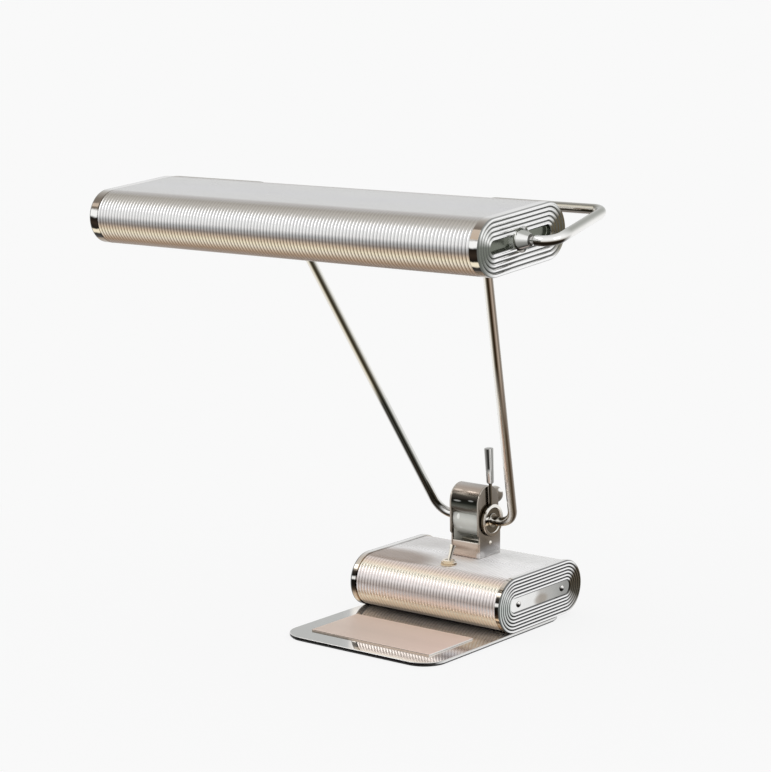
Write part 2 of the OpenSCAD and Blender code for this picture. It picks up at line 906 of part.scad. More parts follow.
module bridge_rivets() {
    top = shade_inner - 0.3 - reflector_t;
    color("gray") at_shade() bridge_rivet_places() {
        translate([0, 0, top - 3]) cylinder(h = 1, r = 2.6);
        translate([0, 0, top - 3]) cylinder(h = 3 + reflector_t, r = rivet_r);
    }
}

module lamp_socket() {
    color("saddlebrown") at_shade() difference() {
        bar_x(bridge_t / 2, socket_mouth, socket_r);
        bar_x(socket_mouth - bulb_base_len - 2, socket_mouth + 1, bulb_base_r + 0.5);
    }
}

module socket_right() {
    lamp_socket();
}

module socket_left() {
    left_copy() lamp_socket();
}

module bulb_base() {
    inner = socket_mouth - bulb_base_len - 2;
    color("gold") at_shade() difference() {
        union() {
            bar_x(inner, inner + 4, 5);
            bar_x(inner + 3, glass_x, bulb_base_r);
        }
        bar_x(inner + 5, glass_x + 1, bulb_base_r - 1);
    }
}

module bulb_base_right() {
    bulb_base();
}

module bulb_base_left() {
    left_copy() bulb_base();
}

// The glass is blown: one wall all round, open where the base closes it
module bulb() {
    color("white", 0.6) at_shade() difference() {
        glass_body(bulb_base_r, bulb_r, 0);
        glass_body(bulb_base_r - glass_wall, bulb_r - glass_wall, 0.5);
    }
}

module glass_body(neck, r, more) {
    tip = glass_x + bulb_len - bulb_r;
    bar_x(glass_x - more, glass_x + 1, neck);
    taper_x(glass_x + 1, glass_x + 5, neck, r);
    bar_x(glass_x + 5, tip, r);
    translate([tip, 0, 0]) intersection() {
        sphere(r);
        bar_x(0, bulb_dia, bulb_dia);
    }
}

module bulb_right() {
    bulb();
}

module bulb_left() {
    left_copy() bulb();
}

// Toggle switch

module at_toggle() {
    translate([toggle_shift, toggle_y, 0]) children();
}

module switch_body() {
    color("sienna") at_toggle()
        translate([-switch_w / 2, -switch_d / 2, housing_ceiling - switch_h])
            cube([switch_w, switch_d, switch_h]);
}

module switch_bushing() {
    top = housing_top + washer_t + switch_nut_h + 1.2;
    color("gainsboro") at_toggle() difference() {
        translate([0, 0, housing_ceiling]) cylinder(h = top - housing_ceiling, r = bushing_r);
        translate([0, 0, housing_ceiling - 1])
            cylinder(h = top - housing_ceiling + 2, r = bat_ball_r + gap);
    }
}

module switch_nut() {
    color("gainsboro") at_toggle() difference() {
        union() {
            translate([0, 0, housing_top]) cylinder(h = washer_t, r = washer_dia / 2);
            translate([0, 0, housing_top + washer_t])
                cylinder(h = switch_nut_h, r = washer_dia / 2 - 0.6, $fn = 6);
        }
        translate([0, 0, housing_top - 1]) cylinder(h = 10, r = bushing_r + fit);
    }
}

module toggle_bat() {
    color("silver") at_toggle() translate([0, 0, toggle_z]) rotate([-bat_tilt, 0, 0]) {
        sphere(bat_ball_r);
        cylinder(h = bat_len - 3, r1 = 1.3, r2 = 1.7);
        translate([0, 0, bat_len - 3]) cylinder(h = 3, r1 = 1.7, r2 = 2.4);
    }
}

base_felt();
base_plate();
plate_screws();
pad_plate();
housing_shell();
housing_cap_left();
housing_cap_right();
cap_screws();
tie_rods();
ballast_left();
ballast_right();
bracket();
backing_plate();
bracket_screws();
bracket_nuts();
brake_shoe();
cross_pin();
cord_grommet();
terminal_block();
switch_body();
switch_bushing();
switch_nut();
toggle_bat();
tension_knob();
tension_screw();
lock_collar();
lock_lever();
yoke_tube_left();
yoke_tube_right();
pivot_barrel();
barrel_set_screws();
left_collar();
cone_ferrule_left();
cone_ferrule_right();
pivot_stud_left();
pivot_stud_right();
stud_nut_left();
stud_nut_right();
shade_shell();
shade_cap_left();
shade_cap_right();
pivot_bush_left();
pivot_bush_right();
reflector();
socket_bridge();
bridge_rivets();
socket_left();
socket_right();
bulb_base_left();
bulb_base_right();
bulb_left();
bulb_right();
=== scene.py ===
"""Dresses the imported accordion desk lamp: finer ribs, caps, tubes and fittings, materials,
camera and studio. Sizes are in millimetres here, and meshes are made in metres."""

import contextlib
import math

import bmesh
import bpy
from mathutils import Matrix, Vector


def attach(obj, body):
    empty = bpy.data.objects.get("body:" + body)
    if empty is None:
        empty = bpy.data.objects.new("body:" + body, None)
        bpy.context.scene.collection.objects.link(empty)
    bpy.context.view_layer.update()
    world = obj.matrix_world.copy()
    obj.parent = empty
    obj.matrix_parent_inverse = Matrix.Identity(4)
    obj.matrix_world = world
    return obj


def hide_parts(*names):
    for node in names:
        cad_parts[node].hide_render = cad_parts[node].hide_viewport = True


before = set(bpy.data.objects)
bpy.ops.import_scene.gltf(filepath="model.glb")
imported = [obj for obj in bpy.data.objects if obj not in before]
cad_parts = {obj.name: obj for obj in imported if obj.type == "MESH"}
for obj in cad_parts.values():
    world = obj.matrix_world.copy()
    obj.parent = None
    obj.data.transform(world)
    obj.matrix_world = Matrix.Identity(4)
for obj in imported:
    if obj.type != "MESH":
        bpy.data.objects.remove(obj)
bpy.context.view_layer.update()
MM = 0.001

# Base plate and pad
PLATE_TOP, PLATE_T, PLATE_W, PLATE_FRONT, PLATE_REAR, PLATE_CORNER = 4.0, 3.0, 177.0, 178.5, 46.0, 25.0
PLATE_EDGE, PAD_EDGE, PAD_CORNER = 0.6, 0.3, 0.8
PAD_W, PAD_D, PAD_T, PAD_SHIFT, PAD_MARGIN = 138.0, 69.0, 1.5, 0.5, 24.5

# Ribbed shells and their end caps
RIB_PITCH, RIB_DEPTH, SHELL_WALL = 3.6, 0.9, 0.7
RIDGE_H, CAP_WALL, SPIGOT = 1.5, 1.2, 5.0
SHELL_STEPS, CAP_STEPS, RIB_STEPS, RING_STEPS = 22, 30, 8, 12
HOUSING = {"ribs": 46, "r": 25.5, "span": 87.0, "band": 6.4, "cap_r": 26.5, "rings": 6, "flat_r": 7.0,
           "dish": 0.0, "floor": 4.9, "seat": 0.0}
SHADE = {"ribs": 115, "r": 24.5, "span": 78.0, "band": 10.2, "cap_r": 24.5, "rings": 5, "flat_r": 5.0,
         "dish": 1.5, "floor": 3.5, "seat": 11.0}
MOUTH_W, MOUTH_MARGIN = 68.0, 9.0
SCREW_R, SCREW_ROD_R, SCREW_DEPTH, SCREW_INSET = 3.1, 1.6, 9.0, 6.5

# Yoke tube, its barrel and its cones
PIVOT = Vector((0, 15.5, 92.4))
ARM_LEN, ARM_LEAN, ARM_FOOT, FOOT_SHIFT = 366.2, math.radians(26.35), 44.0, 1.6
ARM_TOP = ARM_FOOT + ARM_LEN * math.tan(math.radians(11.4))
ELBOW_R, SHOULDER_R, HOOK_R = 21.0, 22.0, 12.0
HOOK_BACK, HOOK_RISE, HOOK_X = 81.0, math.radians(14.2), 246.7
TUBE_R, BARREL_R, BARREL_GAP = 4.5, 17.0, 4.0
CONE_X = SHADE["ribs"] * RIB_PITCH / 2 + SHADE["floor"] + 0.3
NECK_X = CONE_X + 14.0
TUBE_END_X = NECK_X + 4.5
CONE_R, NECK_R, STUD_R = 10.75, 5.3, 3.6
COLLAR_R, COLLAR_L = 7.0, 4.0

# Hinge bracket, lock and knob
BRACKET_X, BRACKET_T, BRACKET_Y, BRACKET_D, WALL_H = 17.25, 2.0, -0.5, 34.5, 15.3
INNER_X = BRACKET_X - BRACKET_T
FACE_X = BRACKET_X + 0.3
LOBE = Vector((0, 13.2, 109.3))
LOBE_R, KNOB_R, KNOB_Y, KNOB_Z = 17.2, 8.6, 48.0, 109.8
PIN_Y, PIN_Z, PIN_R = 16.75, 69.2, 1.4
LOCK_R, LOCK_T, LEVER_LEN, LEVER_R, SHANK_R, LEVER_LEAN = 16.0, 4.7, 72.6, 4.6, 1.7, math.radians(5)

# Switch
TOGGLE = Vector((5.5, -36.0, 58.0))
BAT_LEN, BAT_TILT, BALL_R = 17.5, math.radians(24), 3.0
BUSHING_R, WASHER_R, NUT_R = 6.0, 8.0, 7.4

# Places and turns
SHADE_TILT = math.radians(5.1)
HOUSING_Z, HOUSING_TOP = 30.5, 56.0
REAR = Vector((0, PIVOT.y - ARM_LEN * math.sin(ARM_LEAN), PIVOT.z + ARM_LEN * math.cos(ARM_LEAN)))
AXIS = Vector((0, REAR.y - HOOK_BACK * math.cos(HOOK_RISE), REAR.z - HOOK_BACK * math.sin(HOOK_RISE)))
AT_SHADE = Matrix.Translation(AXIS) @ Matrix.Rotation(SHADE_TILT, 4, "X")
AT_HOUSING = Matrix.Translation((0, 0, HOUSING_Z))
AT_PIVOT = Matrix.Translation(PIVOT)
UPRIGHT = Matrix.Rotation(-math.pi / 2, 4, "Y")
SIDES = ((-1, "left"), (1, "right"))

# Studio and camera, in metres
WHITE = (1, 1, 1, 1)
BACKGROUND, WORLD_LIGHT, FLOOR_GREY, FLOOR_REACH = 0.947, 0.9, 0.9, 12.0
SHADOW_NEAR, SHADOW_FAR, SHADOW_SHARE = 0.2, 0.7, 0.9
LAMPS = {"key": ((-1.2, -1.4, 1.9), 1.2, 9.0), "fill": ((1.8, -0.6, 1.5), 1.4, 3.0)}
LAMP_TARGET = Vector((0, -0.1, 0.2))
AZIMUTH, PITCH, DISTANCE = math.radians(37.57), math.radians(9.87), 2.1453
CAMERA_TARGET = Vector((-0.01434, -0.1099, 0.23855))
FOCAL_PIXELS, PHOTO_WIDTH, SENSOR = 2309.15, 771, 36.0

# How far the turn runs on past 90 degrees over the flats of a section, and the ramps' span of turn
FLAT_TURN, TURN_SPAN = 40, 270

# Tones: painted reflections and shade, set by how a surface faces; colours are sRGB in 0..255, and turns are
# degrees round a section, 90 up, 0 forward, -90 down
# Painted reflections round the shade's ribs: bright above the middle, a dark band, warm below; grooves darker
# as painted shade
SHADE_TONES = [
    (-130, (150, 140, 130), (165, 155, 145)), (-90, (124, 108, 94), (146, 130, 116)),
    (-60, (128, 112, 97), (160, 146, 134)), (-44, (134, 110, 86), (168, 142, 118)),
    (-36, (104, 84, 62), (206, 186, 164)), (-28, (88, 76, 56), (246, 234, 214)),
    (-20, (108, 88, 62), (255, 244, 216)), (-12, (100, 80, 58), (224, 204, 180)),
    (-4, (92, 82, 76), (162, 152, 144)), (4, (112, 110, 108), (188, 188, 188)),
    (12, (166, 165, 165), (244, 243, 242)), (20, (192, 192, 192), (246, 246, 245)),
    (28, (196, 195, 195), (238, 237, 237)), (36, (188, 187, 186), (222, 221, 220)),
    (44, (180, 178, 174), (196, 193, 189)), (54, (178, 174, 166), (186, 181, 174)),
    (66, (162, 157, 149), (170, 165, 157)), (76, (174, 171, 167), (180, 177, 174)),
    (86, (186, 184, 181), (194, 191, 189)), (93, (204, 204, 203), (212, 212, 211)),
    (130, (202, 202, 203), (212, 212, 213))]
# Painted reflections round the housing's ribs: pale top, warm gold bands, dark underside; grooves darker as
# painted shade
HOUSING_TONES = [
    (-130, (130, 128, 126), (150, 148, 146)), (-90, (84, 81, 77), (102, 99, 95)),
    (-75, (168, 160, 152), (188, 181, 173)), (-62, (218, 204, 190), (240, 228, 216)),
    (-52, (186, 170, 154), (206, 192, 178)), (-44, (242, 216, 188), (252, 234, 210)),
    (-36, (252, 222, 190), (255, 238, 212)), (-28, (254, 228, 198), (255, 242, 218)),
    (-20, (192, 169, 148), (207, 189, 170)), (-12, (230, 212, 200), (252, 243, 236)),
    (-4, (202, 196, 192), (232, 226, 226)), (4, (130, 119, 114), (188, 177, 171)),
    (12, (146, 139, 135), (208, 200, 197)), (20, (200, 193, 191), (240, 233, 231)),
    (30, (224, 215, 213), (248, 239, 236)), (38, (238, 230, 220), (250, 242, 234)),
    (46, (254, 248, 232), (254, 250, 234)), (54, (226, 209, 190), (246, 230, 210)),
    (62, (198, 181, 169), (230, 213, 202)), (72, (192, 180, 173), (226, 215, 209)),
    (82, (210, 203, 200), (242, 236, 234)), (91, (238, 235, 234), (252, 250, 250)),
    (110, (238, 237, 237), (251, 250, 250)), (130, (224, 223, 223), (240, 239, 239))]
HOUSING_METALLIC = [(-130, 0.5), (-50, 0.4), (-42, 0.2), (-27, 0.2), (-19, 0.85), (70, 0.9), (86, 0.4),
                    (94, 0.15), (112, 0.15), (130, 0.75)]
# Painted reflections on the housing top: a tan patch at the front left, greyer patches behind
HOUSING_PAINTED_REFLECTIONS = [((-58, -44, 56), (64, 44, 2), (158, 142, 130), 0.9),
                  ((-92, 28, 56), (75, 45, 4), (206, 204, 202), 0.7),
                  ((60, 40, 56), (90, 34, 4), (228, 228, 227), 0.8)]
# Painted reflections on the smooth bands of the shade and the housing: dark and bright patches round the
# section
SHADE_BAND = [
    (-130, (186, 182, 176)), (-90, (132, 120, 106)), (-46, (150, 132, 112)), (-41, (40, 32, 26)),
    (-31, (22, 18, 14)), (-27, (246, 234, 208)), (-20, (246, 234, 208)), (-17, (20, 16, 12)),
    (-5, (52, 42, 34)), (6, (24, 20, 16)), (10, (250, 250, 248)), (21, (250, 250, 248)),
    (26, (118, 106, 94)), (50, (122, 112, 102)), (70, (164, 158, 150)), (92, (206, 206, 205)),
    (130, (214, 214, 213))]
HOUSING_BAND = [
    (-130, (160, 156, 150)), (-90, (110, 104, 96)), (-66, (44, 38, 32)), (-52, (64, 52, 42)),
    (-42, (220, 196, 166)), (-26, (196, 172, 146)), (-14, (74, 62, 50)), (-6, (26, 22, 19)),
    (7, (18, 16, 14)), (10, (240, 238, 234)), (14, (240, 238, 234)), (17, (20, 18, 16)),
    (26, (58, 52, 46)), (34, (206, 196, 182)), (60, (196, 186, 174)), (92, (214, 214, 212)),
    (130, (222, 222, 221))]
# Painted reflections on the caps' round ends, front then rear
SHADE_NOSES = ([(-50, (150, 152, 148)), (-20, (112, 116, 108)), (10, (118, 122, 114)), (36, (236, 237, 235))],
               [(-50, (150, 146, 134)), (-10, (84, 76, 58)), (34, (100, 92, 74))])
HOUSING_NOSES = ([(-50, (224, 226, 224)), (0, (204, 210, 206)), (36, (230, 232, 230))],
                 [(-60, (200, 198, 194)), (-30, (92, 88, 78)), (10, (84, 76, 62)), (40, (98, 90, 76))])
# Painted reflections round the brake shoe
SHOE_TONES = [
    (-40, (180, 181, 175)), (-30, (156, 157, 151)), (-22, (124, 123, 118)), (-14, (106, 106, 100)),
    (-6, (76, 77, 70)), (2, (30, 32, 28)), (12, (24, 23, 19)), (20, (54, 50, 46)), (28, (64, 61, 55)),
    (35, (128, 120, 111)), (42, (172, 158, 146)), (50, (172, 159, 147)), (58, (166, 153, 143)),
    (74, (168, 162, 156)), (90, (142, 136, 131)), (106, (158, 154, 150)), (130, (172, 167, 161))]
# Painted highlights on the brake shoe's front and top
SHOE_PAINTED_HIGHLIGHTS = [((-8, -3.4, 111.6), (5.5, 4, 1.0), (200, 201, 198), 0.5),
               ((8, -3.0, 113.0), (4.0, 4, 0.9), (190, 191, 188), 0.5),
               ((-10, 1, 121.4), (7, 5, 0.9), (228, 212, 198), 0.8),
               ((6, 0.6, 121.2), (9, 5, 0.7), (216, 200, 186), 0.7)]
# Painted reflections round the barrel, dark at its top as painted shade under the shoe
BARREL_TONES = [
    (-90, (200, 201, 194)), (-60, (196, 197, 190)), (-44, (194, 195, 188)), (-36, (198, 199, 192)),
    (-28, (204, 205, 199)), (-20, (204, 205, 199)), (-8, (206, 207, 201)), (4, (206, 207, 201)),
    (12, (198, 199, 194)), (20, (186, 187, 181)), (28, (156, 157, 152)), (36, (116, 116, 111)),
    (44, (76, 76, 72)), (60, (24, 26, 22)), (90, (16, 16, 14))]
# Painted highlights on the barrel's front
BARREL_PAINTED_HIGHLIGHTS = [((-8.5, -1.2, 95.5), (2.2, 4, 3.6), (246, 247, 242), 0.95),
                 ((-6.5, 1.2, 84.6), (2.4, 4, 2.2), (216, 217, 212), 0.7)]
# Painted reflections round the cone ferrules
CONE_TONES = [
    (-120, (36, 34, 32)), (-72, (30, 28, 26)), (-60, (176, 164, 156)), (-50, (36, 34, 31)),
    (-34, (120, 120, 116)), (-14, (150, 150, 146)), (0, (206, 206, 203)), (10, (250, 250, 248)),
    (34, (244, 244, 242)), (46, (178, 179, 174)), (75, (176, 178, 172)), (125, (190, 190, 186))]
# Painted highlight where each cap screw faces up, painted shade where it faces down and forward
SCREW_TONES = [(-130, (44, 41, 38)), (-50, (22, 20, 18)), (8, (26, 24, 22)), (34, (190, 188, 184)),
               (58, (253, 252, 250)), (110, (244, 242, 238)), (134, (60, 56, 52))]

# Painted reflections across the front of each arm, as streaks from its left edge to its right one
ARM_PLACES = (0.467, 0.515, 0.551, 0.583, 0.615, 0.648, 0.683, 0.722, 0.774, 0.85)
RIGHT_HIGH = [(240, 236, 227), (134, 126, 112), (58, 49, 35), (42, 30, 15), (64, 48, 32), (146, 130, 114),
              (186, 170, 154), (119, 106, 94), (147, 138, 127), (231, 227, 221)]
RIGHT_LOW = [(243, 241, 238), (222, 216, 208), (184, 176, 166), (154, 144, 130), (122, 110, 94), (80, 66, 50),
             (66, 52, 36), (110, 96, 82), (138, 128, 118), (190, 182, 174)]
LEFT_HIGH = [(232, 227, 220), (236, 229, 214), (194, 188, 168), (94, 87, 70), (50, 43, 30), (62, 57, 44),
             (122, 119, 108), (200, 198, 192), (243, 242, 237), (238, 238, 234)]
LEFT_LOW = [(230, 230, 228), (119, 118, 114), (46, 46, 40), (68, 67, 61), (38, 36, 30), (23, 24, 16),
            (104, 105, 98), (204, 204, 200), (229, 229, 225), (188, 187, 184)]

# Painted reflections up the tube's level runs, 0 facing down to 1 facing up
ELBOW_TONES = [(0.0, (208, 188, 162)), (0.14, (220, 198, 170)), (0.24, (150, 130, 108)), (0.31, (46, 38, 30)),
               (0.42, (26, 23, 20)), (0.5, (150, 148, 144)), (0.58, (250, 249, 247)), (0.74, (248, 248, 246)),
               (0.84, (130, 128, 124)), (0.92, (196, 194, 190)), (1.0, (176, 172, 166))]
REAR_TONES = [(0.0, (214, 211, 207)), (0.13, (160, 156, 152)), (0.27, (98, 94, 88)), (0.36, (76, 72, 64)),
              (0.43, (120, 116, 106)), (0.485, (236, 232, 222)), (0.56, (228, 224, 215)),
              (0.66, (150, 146, 136)), (0.74, (112, 108, 98)), (0.84, (124, 122, 114)),
              (0.93, (152, 150, 143)), (1.0, (176, 174, 168))]
LEG_TONES = [(0.0, (222, 221, 219)), (0.13, (241, 240, 238)), (0.27, (248, 247, 245)),
             (0.38, (248, 247, 245)), (0.485, (245, 244, 241)), (0.586, (231, 230, 227)),
             (0.68, (204, 204, 200)), (0.78, (178, 179, 174)), (0.88, (165, 166, 161)),
             (0.96, (167, 168, 163)), (1.0, (178, 178, 174))]
NECK_TONES = [(0.0, (70, 62, 52)), (0.2, (30, 24, 17)), (0.36, (26, 21, 14)), (0.44, (84, 74, 60)),
              (0.5, (206, 203, 197)), (0.62, (251, 250, 248)), (0.8, (242, 242, 240)), (1.0, (208, 208, 205))]


# Shader tools

def linear(c):
    """An sRGB colour in 0..255 as linear RGBA."""
    out = [(v / 255 / 12.92) if v <= 10 else ((v / 255 + 0.055) / 1.055) ** 2.4 for v in c]
    return (*out, 1.0)


def turn_pos(t):
    """Ramp position of a section angle: 90 faces up, 0 forward, -90 down; past 90 lies the flat."""
    return t / TURN_SPAN + 0.5


def by_turn(stops):
    """(degrees, value) stops as (ramp position, value) stops."""
    return [(turn_pos(t), value) for t, value in stops]


class Shader:
    """The node tree of a material, or of another owner, built a node at a time."""

    def __init__(self, name, owner=None):
        self.owner = owner or bpy.data.materials.new(name)
        self.owner.use_nodes = True
        self.tree = self.owner.node_tree
        self.bsdf = self.tree.nodes.get("Principled BSDF")

    def put(self, socket, value):
        if isinstance(value, bpy.types.NodeSocket):
            self.tree.links.new(value, socket)
        else:
            socket.default_value = value

    def node(self, kind, props=None, **inputs):
        n = self.tree.nodes.new(kind)
        for key, value in (props or {}).items():
            setattr(n, key, value)
        for key, value in inputs.items():
            self.put(n.inputs[key.replace("_", " ")], value)
        return n

    def math(self, op, *values, kind="ShaderNodeMath", out=0):
        """The result of a sum on numbers or sockets."""
        n = self.node(kind, {"operation": op})
        for socket, value in zip(n.inputs, values):
            self.put(socket, value)
        return n.outputs[out]

    def vector(self, op, *values):
        out = "Value" if op == "LENGTH" else "Vector"
        return self.math(op, *values, kind="ShaderNodeVectorMath", out=out)

    def over(self, value, limit):
        return self.math("GREATER_THAN", value, limit)

    def under(self, value, limit):
        return self.math("LESS_THAN", value, limit)

    def remap(self, value, low, high, to_low=0.0, to_high=1.0, how="LINEAR"):
        """A value in low..high taken to to_low..to_high, and held there outside it."""
        return self.node("ShaderNodeMapRange", {"interpolation_type": how}, Value=value, From_Min=low,
                         From_Max=high, To_Min=to_low, To_Max=to_high).outputs["Result"]

    def spread(self, value, low, high):
        """A 0..1 value taken to low..high."""
        return self.remap(value, 0.0, 1.0, low, high)

    def attr(self, name):
        return self.node("ShaderNodeAttribute", {"attribute_name": name}).outputs["Fac"]

    def coordinate(self, kind="Object"):
        return self.node("ShaderNodeTexCoord").outputs[kind]

    def part(self, axis, kind="Object"):
        """X, Y or Z of the place in metres, or of the normal."""
        return self.node("ShaderNodeSeparateXYZ", Vector=self.coordinate(kind)).outputs[axis]

    def place(self, axis, low, high):
        """0..1 across a stretch in millimetres along X, Y or Z."""
        return self.remap(self.part(axis), low * MM, high * MM)

    def facing(self, axis):
        """0..1 as the surface faces away from or along X, Y or Z."""
        return self.math("MULTIPLY_ADD", self.part(axis, "Normal"), 0.5, 0.5)

    def sideways(self):
        """0..0.5 as the surface faces to either side."""
        return self.math("ABSOLUTE", self.math("SUBTRACT", self.facing("X"), 0.5))

    def from_middle(self):
        """The distance from the lamp's middle plane, in metres."""
        return self.math("ABSOLUTE", self.part("X"))

    def section_turn(self):
        """Ramp position round a section along X, as turn_pos gives it."""
        forward = self.math("MULTIPLY", self.part("Y", "Normal"), -1.0)
        angle = self.math("ARCTAN2", self.part("Z", "Normal"), forward)
        return self.math("MULTIPLY_ADD", angle, math.degrees(1) / TURN_SPAN, 0.5)

    def colour_ramp(self, fac, stops):
        n = self.node("ShaderNodeValToRGB", Fac=fac)
        marks = n.color_ramp.elements
        marks.remove(marks[-1])
        marks[0].position, marks[0].color = stops[0]
        for pos, colour in stops[1:]:
            marks.new(pos).color = colour
        return n.outputs["Color"]

    def ramp(self, fac, stops):
        """A colour along a 0..1 value, from (position, sRGB colour) stops."""
        return self.colour_ramp(fac, [(pos, linear(colour)) for pos, colour in stops])

    def curve(self, fac, stops):
        """A plain number along a 0..1 value, from (position, number) stops."""
        return self.colour_ramp(fac, [(pos, (value, value, value, 1.0)) for pos, value in stops])

    def mix(self, fac, a, b, how="MIX"):
        """Between two colours, each a socket or an sRGB triple."""
        n = self.node("ShaderNodeMix", {"data_type": "RGBA", "blend_type": how})
        self.put(n.inputs[0], fac)
        for socket, colour in ((n.inputs[6], a), (n.inputs[7], b)):
            self.put(socket, linear(colour) if isinstance(colour, tuple) else colour)
        return n.outputs[2]

    def noise(self, scale, detail=3.0, stretch=(1, 1, 1)):
        sized = self.node("ShaderNodeMapping", Vector=self.coordinate(), Scale=stretch).outputs["Vector"]
        return self.node("ShaderNodeTexNoise", Vector=sized, Scale=scale, Detail=detail).outputs["Fac"]

    def worn(self, colour, amount=0.06, scale=60.0, stretch=(1, 1, 1)):
        """The colour with a soft cloudy change of brightness."""
        cloud = self.spread(self.noise(scale, 4.0, stretch), 1 - amount, 1 + amount)
        grey = self.node("ShaderNodeCombineColor", Red=cloud, Green=cloud, Blue=cloud).outputs["Color"]
        return self.mix(1.0, colour, grey, "MULTIPLY")

    def painted_reflection(self, colour, where, reach, tone, strength=1.0):
        """The colour with a painted reflection, a soft spot of another tone, bright or dark, round a point in
        millimetres.
        reach is the spot's half size along X, Y and Z."""
        from_spot = self.vector("SUBTRACT", self.coordinate(), [v * MM for v in where])
        sized = self.vector("DIVIDE", from_spot, [v * MM for v in reach])
        near = self.remap(self.vector("LENGTH", sized), 0.5, 1.0, strength, 0.0, "SMOOTHSTEP")
        return self.mix(near, colour, tone)

    def bump(self, height, strength):
        n = self.node("ShaderNodeBump", Height=height, Strength=strength, Distance=0.0002)
        self.put(self.bsdf.inputs["Normal"], n.outputs["Normal"])

    def finish(self, colour, metallic, rough, **more):
        values = {"Base_Color": colour, "Metallic": metallic, "Roughness": rough, **more}
        for key, value in values.items():
            self.put(self.bsdf.inputs[key.replace("_", " ")], value)
        return self.owner

    def polished(self, colour, rough, wear=0.05, scale=90.0, sheen=110.0, metallic=1.0):
        """Finishes a smooth metal, with soft clouds in its brightness and its gloss."""
        worn = self.worn(colour, wear, scale)
        return self.finish(worn, metallic, self.spread(self.noise(sheen), *rough))


# Materials of shells, caps and tubes

def ribbed_metal(name, tones, metallic=(), painted_reflections=()):
    """Ribs with painted reflections round the section, their grooves darker as painted shade, and painted
    reflections as soft spots.
    """
    sh = Shader(name)
    turn = sh.attr("turn")
    groove = sh.ramp(turn, by_turn([(t, g) for t, g, c in tones]))
    crest = sh.ramp(turn, by_turn([(t, c) for t, g, c in tones]))
    colour = sh.worn(sh.mix(sh.attr("crest"), groove, crest), 0.04, 25.0, (0.6, 4, 4))
    for painted_reflection in painted_reflections:
        colour = sh.painted_reflection(colour, *painted_reflection)
    sh.bump(sh.noise(900.0, 2.0, (6, 1, 1)), 0.08)
    share = sh.curve(turn, by_turn(metallic)) if metallic else 1.0
    return sh.finish(colour, share, sh.spread(sh.noise(40.0), 0.2, 0.3))


def cap_metal(name, groove, noses, flat, bright, lines, centre):
    """Ringed chrome pressings: painted shade as dark lines in the grooves, and painted reflections darker at
    the round ends.
    noses holds the painted tones of the front and the rear end, lines how the crests grow out of the grooves."""
    sh = Shader(name)
    turn = sh.attr("turn")
    under, over = [(-130, bright), (-84, bright)], [(60, flat), (84, bright), (130, bright)]
    ends = [sh.ramp(turn, by_turn(under + nose + over)) for nose in noses]
    top = sh.mix(sh.over(sh.part("Y"), centre * MM), *ends)
    line = sh.mix(0.18, groove, top)
    colour = sh.mix(sh.curve(sh.attr("crest"), lines), line, top)
    return sh.polished(colour, (0.08, 0.2), 0.05, 80.0, 120.0)


def band_metal(name, tones):
    """The smooth bands beside the ribs, with painted reflections as the dark and bright patches of polished
    chrome.
    """
    sh = Shader(name)
    blur = sh.math("MULTIPLY", sh.math("SUBTRACT", sh.noise(160.0, 2.0), 0.5), 0.03)
    colour = sh.ramp(sh.math("ADD", sh.attr("turn"), blur), by_turn(tones))
    return sh.finish(colour, 1.0, sh.spread(sh.noise(90.0), 0.06, 0.14))


def panel_metal():
    """Flat middle of a housing cap with painted reflections: pale at the front, greyer at the back, with a
    brown patch between.
    """
    sh = Shader("cap_panel")
    colour = sh.ramp(sh.place("Y", -44, 44), [(0.0, (246, 246, 245)), (0.4, (236, 236, 234)),
                                              (0.5, (190, 188, 184)), (0.75, (176, 176, 173)),
                                              (1.0, (150, 150, 147))])
    # Painted reflection: a brown patch in the middle of the panel
    colour = sh.painted_reflection(colour, (0, 1, 27.5), (400, 15, 7), (150, 138, 124), 0.6)
    return sh.polished(colour, (0.1, 0.2), 0.08, 60.0, 90.0)


def seen_round(tones):
    """Ramp of painted reflection streaks round an upright tube, from tones listed across its front, left to
    right.
    """
    left = [(0.0, (196, 192, 186)), (0.08, (70, 64, 56)), (0.16, (60, 54, 46)), (0.24, (190, 186, 180)),
            (0.4, (244, 242, 238))]
    right = [(0.88, (226, 224, 220)), (0.93, (170, 166, 160)), (1.0, (196, 192, 186))]
    return [*left, *zip(ARM_PLACES, tones), *right]


def tube_metal(name, low, high, change):
    """Chrome tube with painted reflections: streaks along the arms, which change between two heights, and
    bands on the level runs.
    """
    sh = Shader(name)
    arms = [sh.ramp(sh.attr("around"), seen_round(tones)) for tones in (low, high)]
    elbow, rear, leg, neck = [sh.ramp(sh.attr("rise"), tones)
                              for tones in (ELBOW_TONES, REAR_TONES, LEG_TONES, NECK_TONES)]
    top = sh.mix(sh.place("X", 236, 245), rear, leg)
    top = sh.mix(sh.place("Y", -205, -217), top, neck)
    level = sh.mix(sh.place("Z", 200, 300), elbow, top)
    colour = sh.mix(sh.attr("steep"), level, sh.mix(sh.place("Z", *change), *arms))
    return sh.polished(colour, (0.07, 0.15), 0.05, 50.0, 70.0)


def plain(name, colour, metallic, rough, wear, scale, grain, **more):
    """One colour with clouds of a given wear and scale, and a fine grain in the surface."""
    sh = Shader(name)
    toned = sh.worn(colour, wear, scale)
    sh.bump(sh.noise(scale * 6, 4.0), grain)
    return sh.finish(toned, metallic, sh.spread(sh.noise(scale * 2), *rough), **more)


# Materials of the hinge, the cones and the base

def section_metal(name, tones, rough=(0.1, 0.2), painted_reflections=(), wear=0.05, grain=0.0, share=1.0):
    """Metal with painted reflections and shade round a section along X, and painted reflections as soft
    spots.
    """
    sh = Shader(name)
    colour = sh.worn(sh.ramp(sh.section_turn(), by_turn(tones)), wear, 90.0, (0.3, 3, 3))
    for painted_reflection in painted_reflections:
        colour = sh.painted_reflection(colour, *painted_reflection)
    if grain:
        sh.bump(sh.noise(700.0, 2.0, (0.3, 4, 4)), grain)
    return sh.finish(colour, share, sh.spread(sh.noise(110.0), *rough))


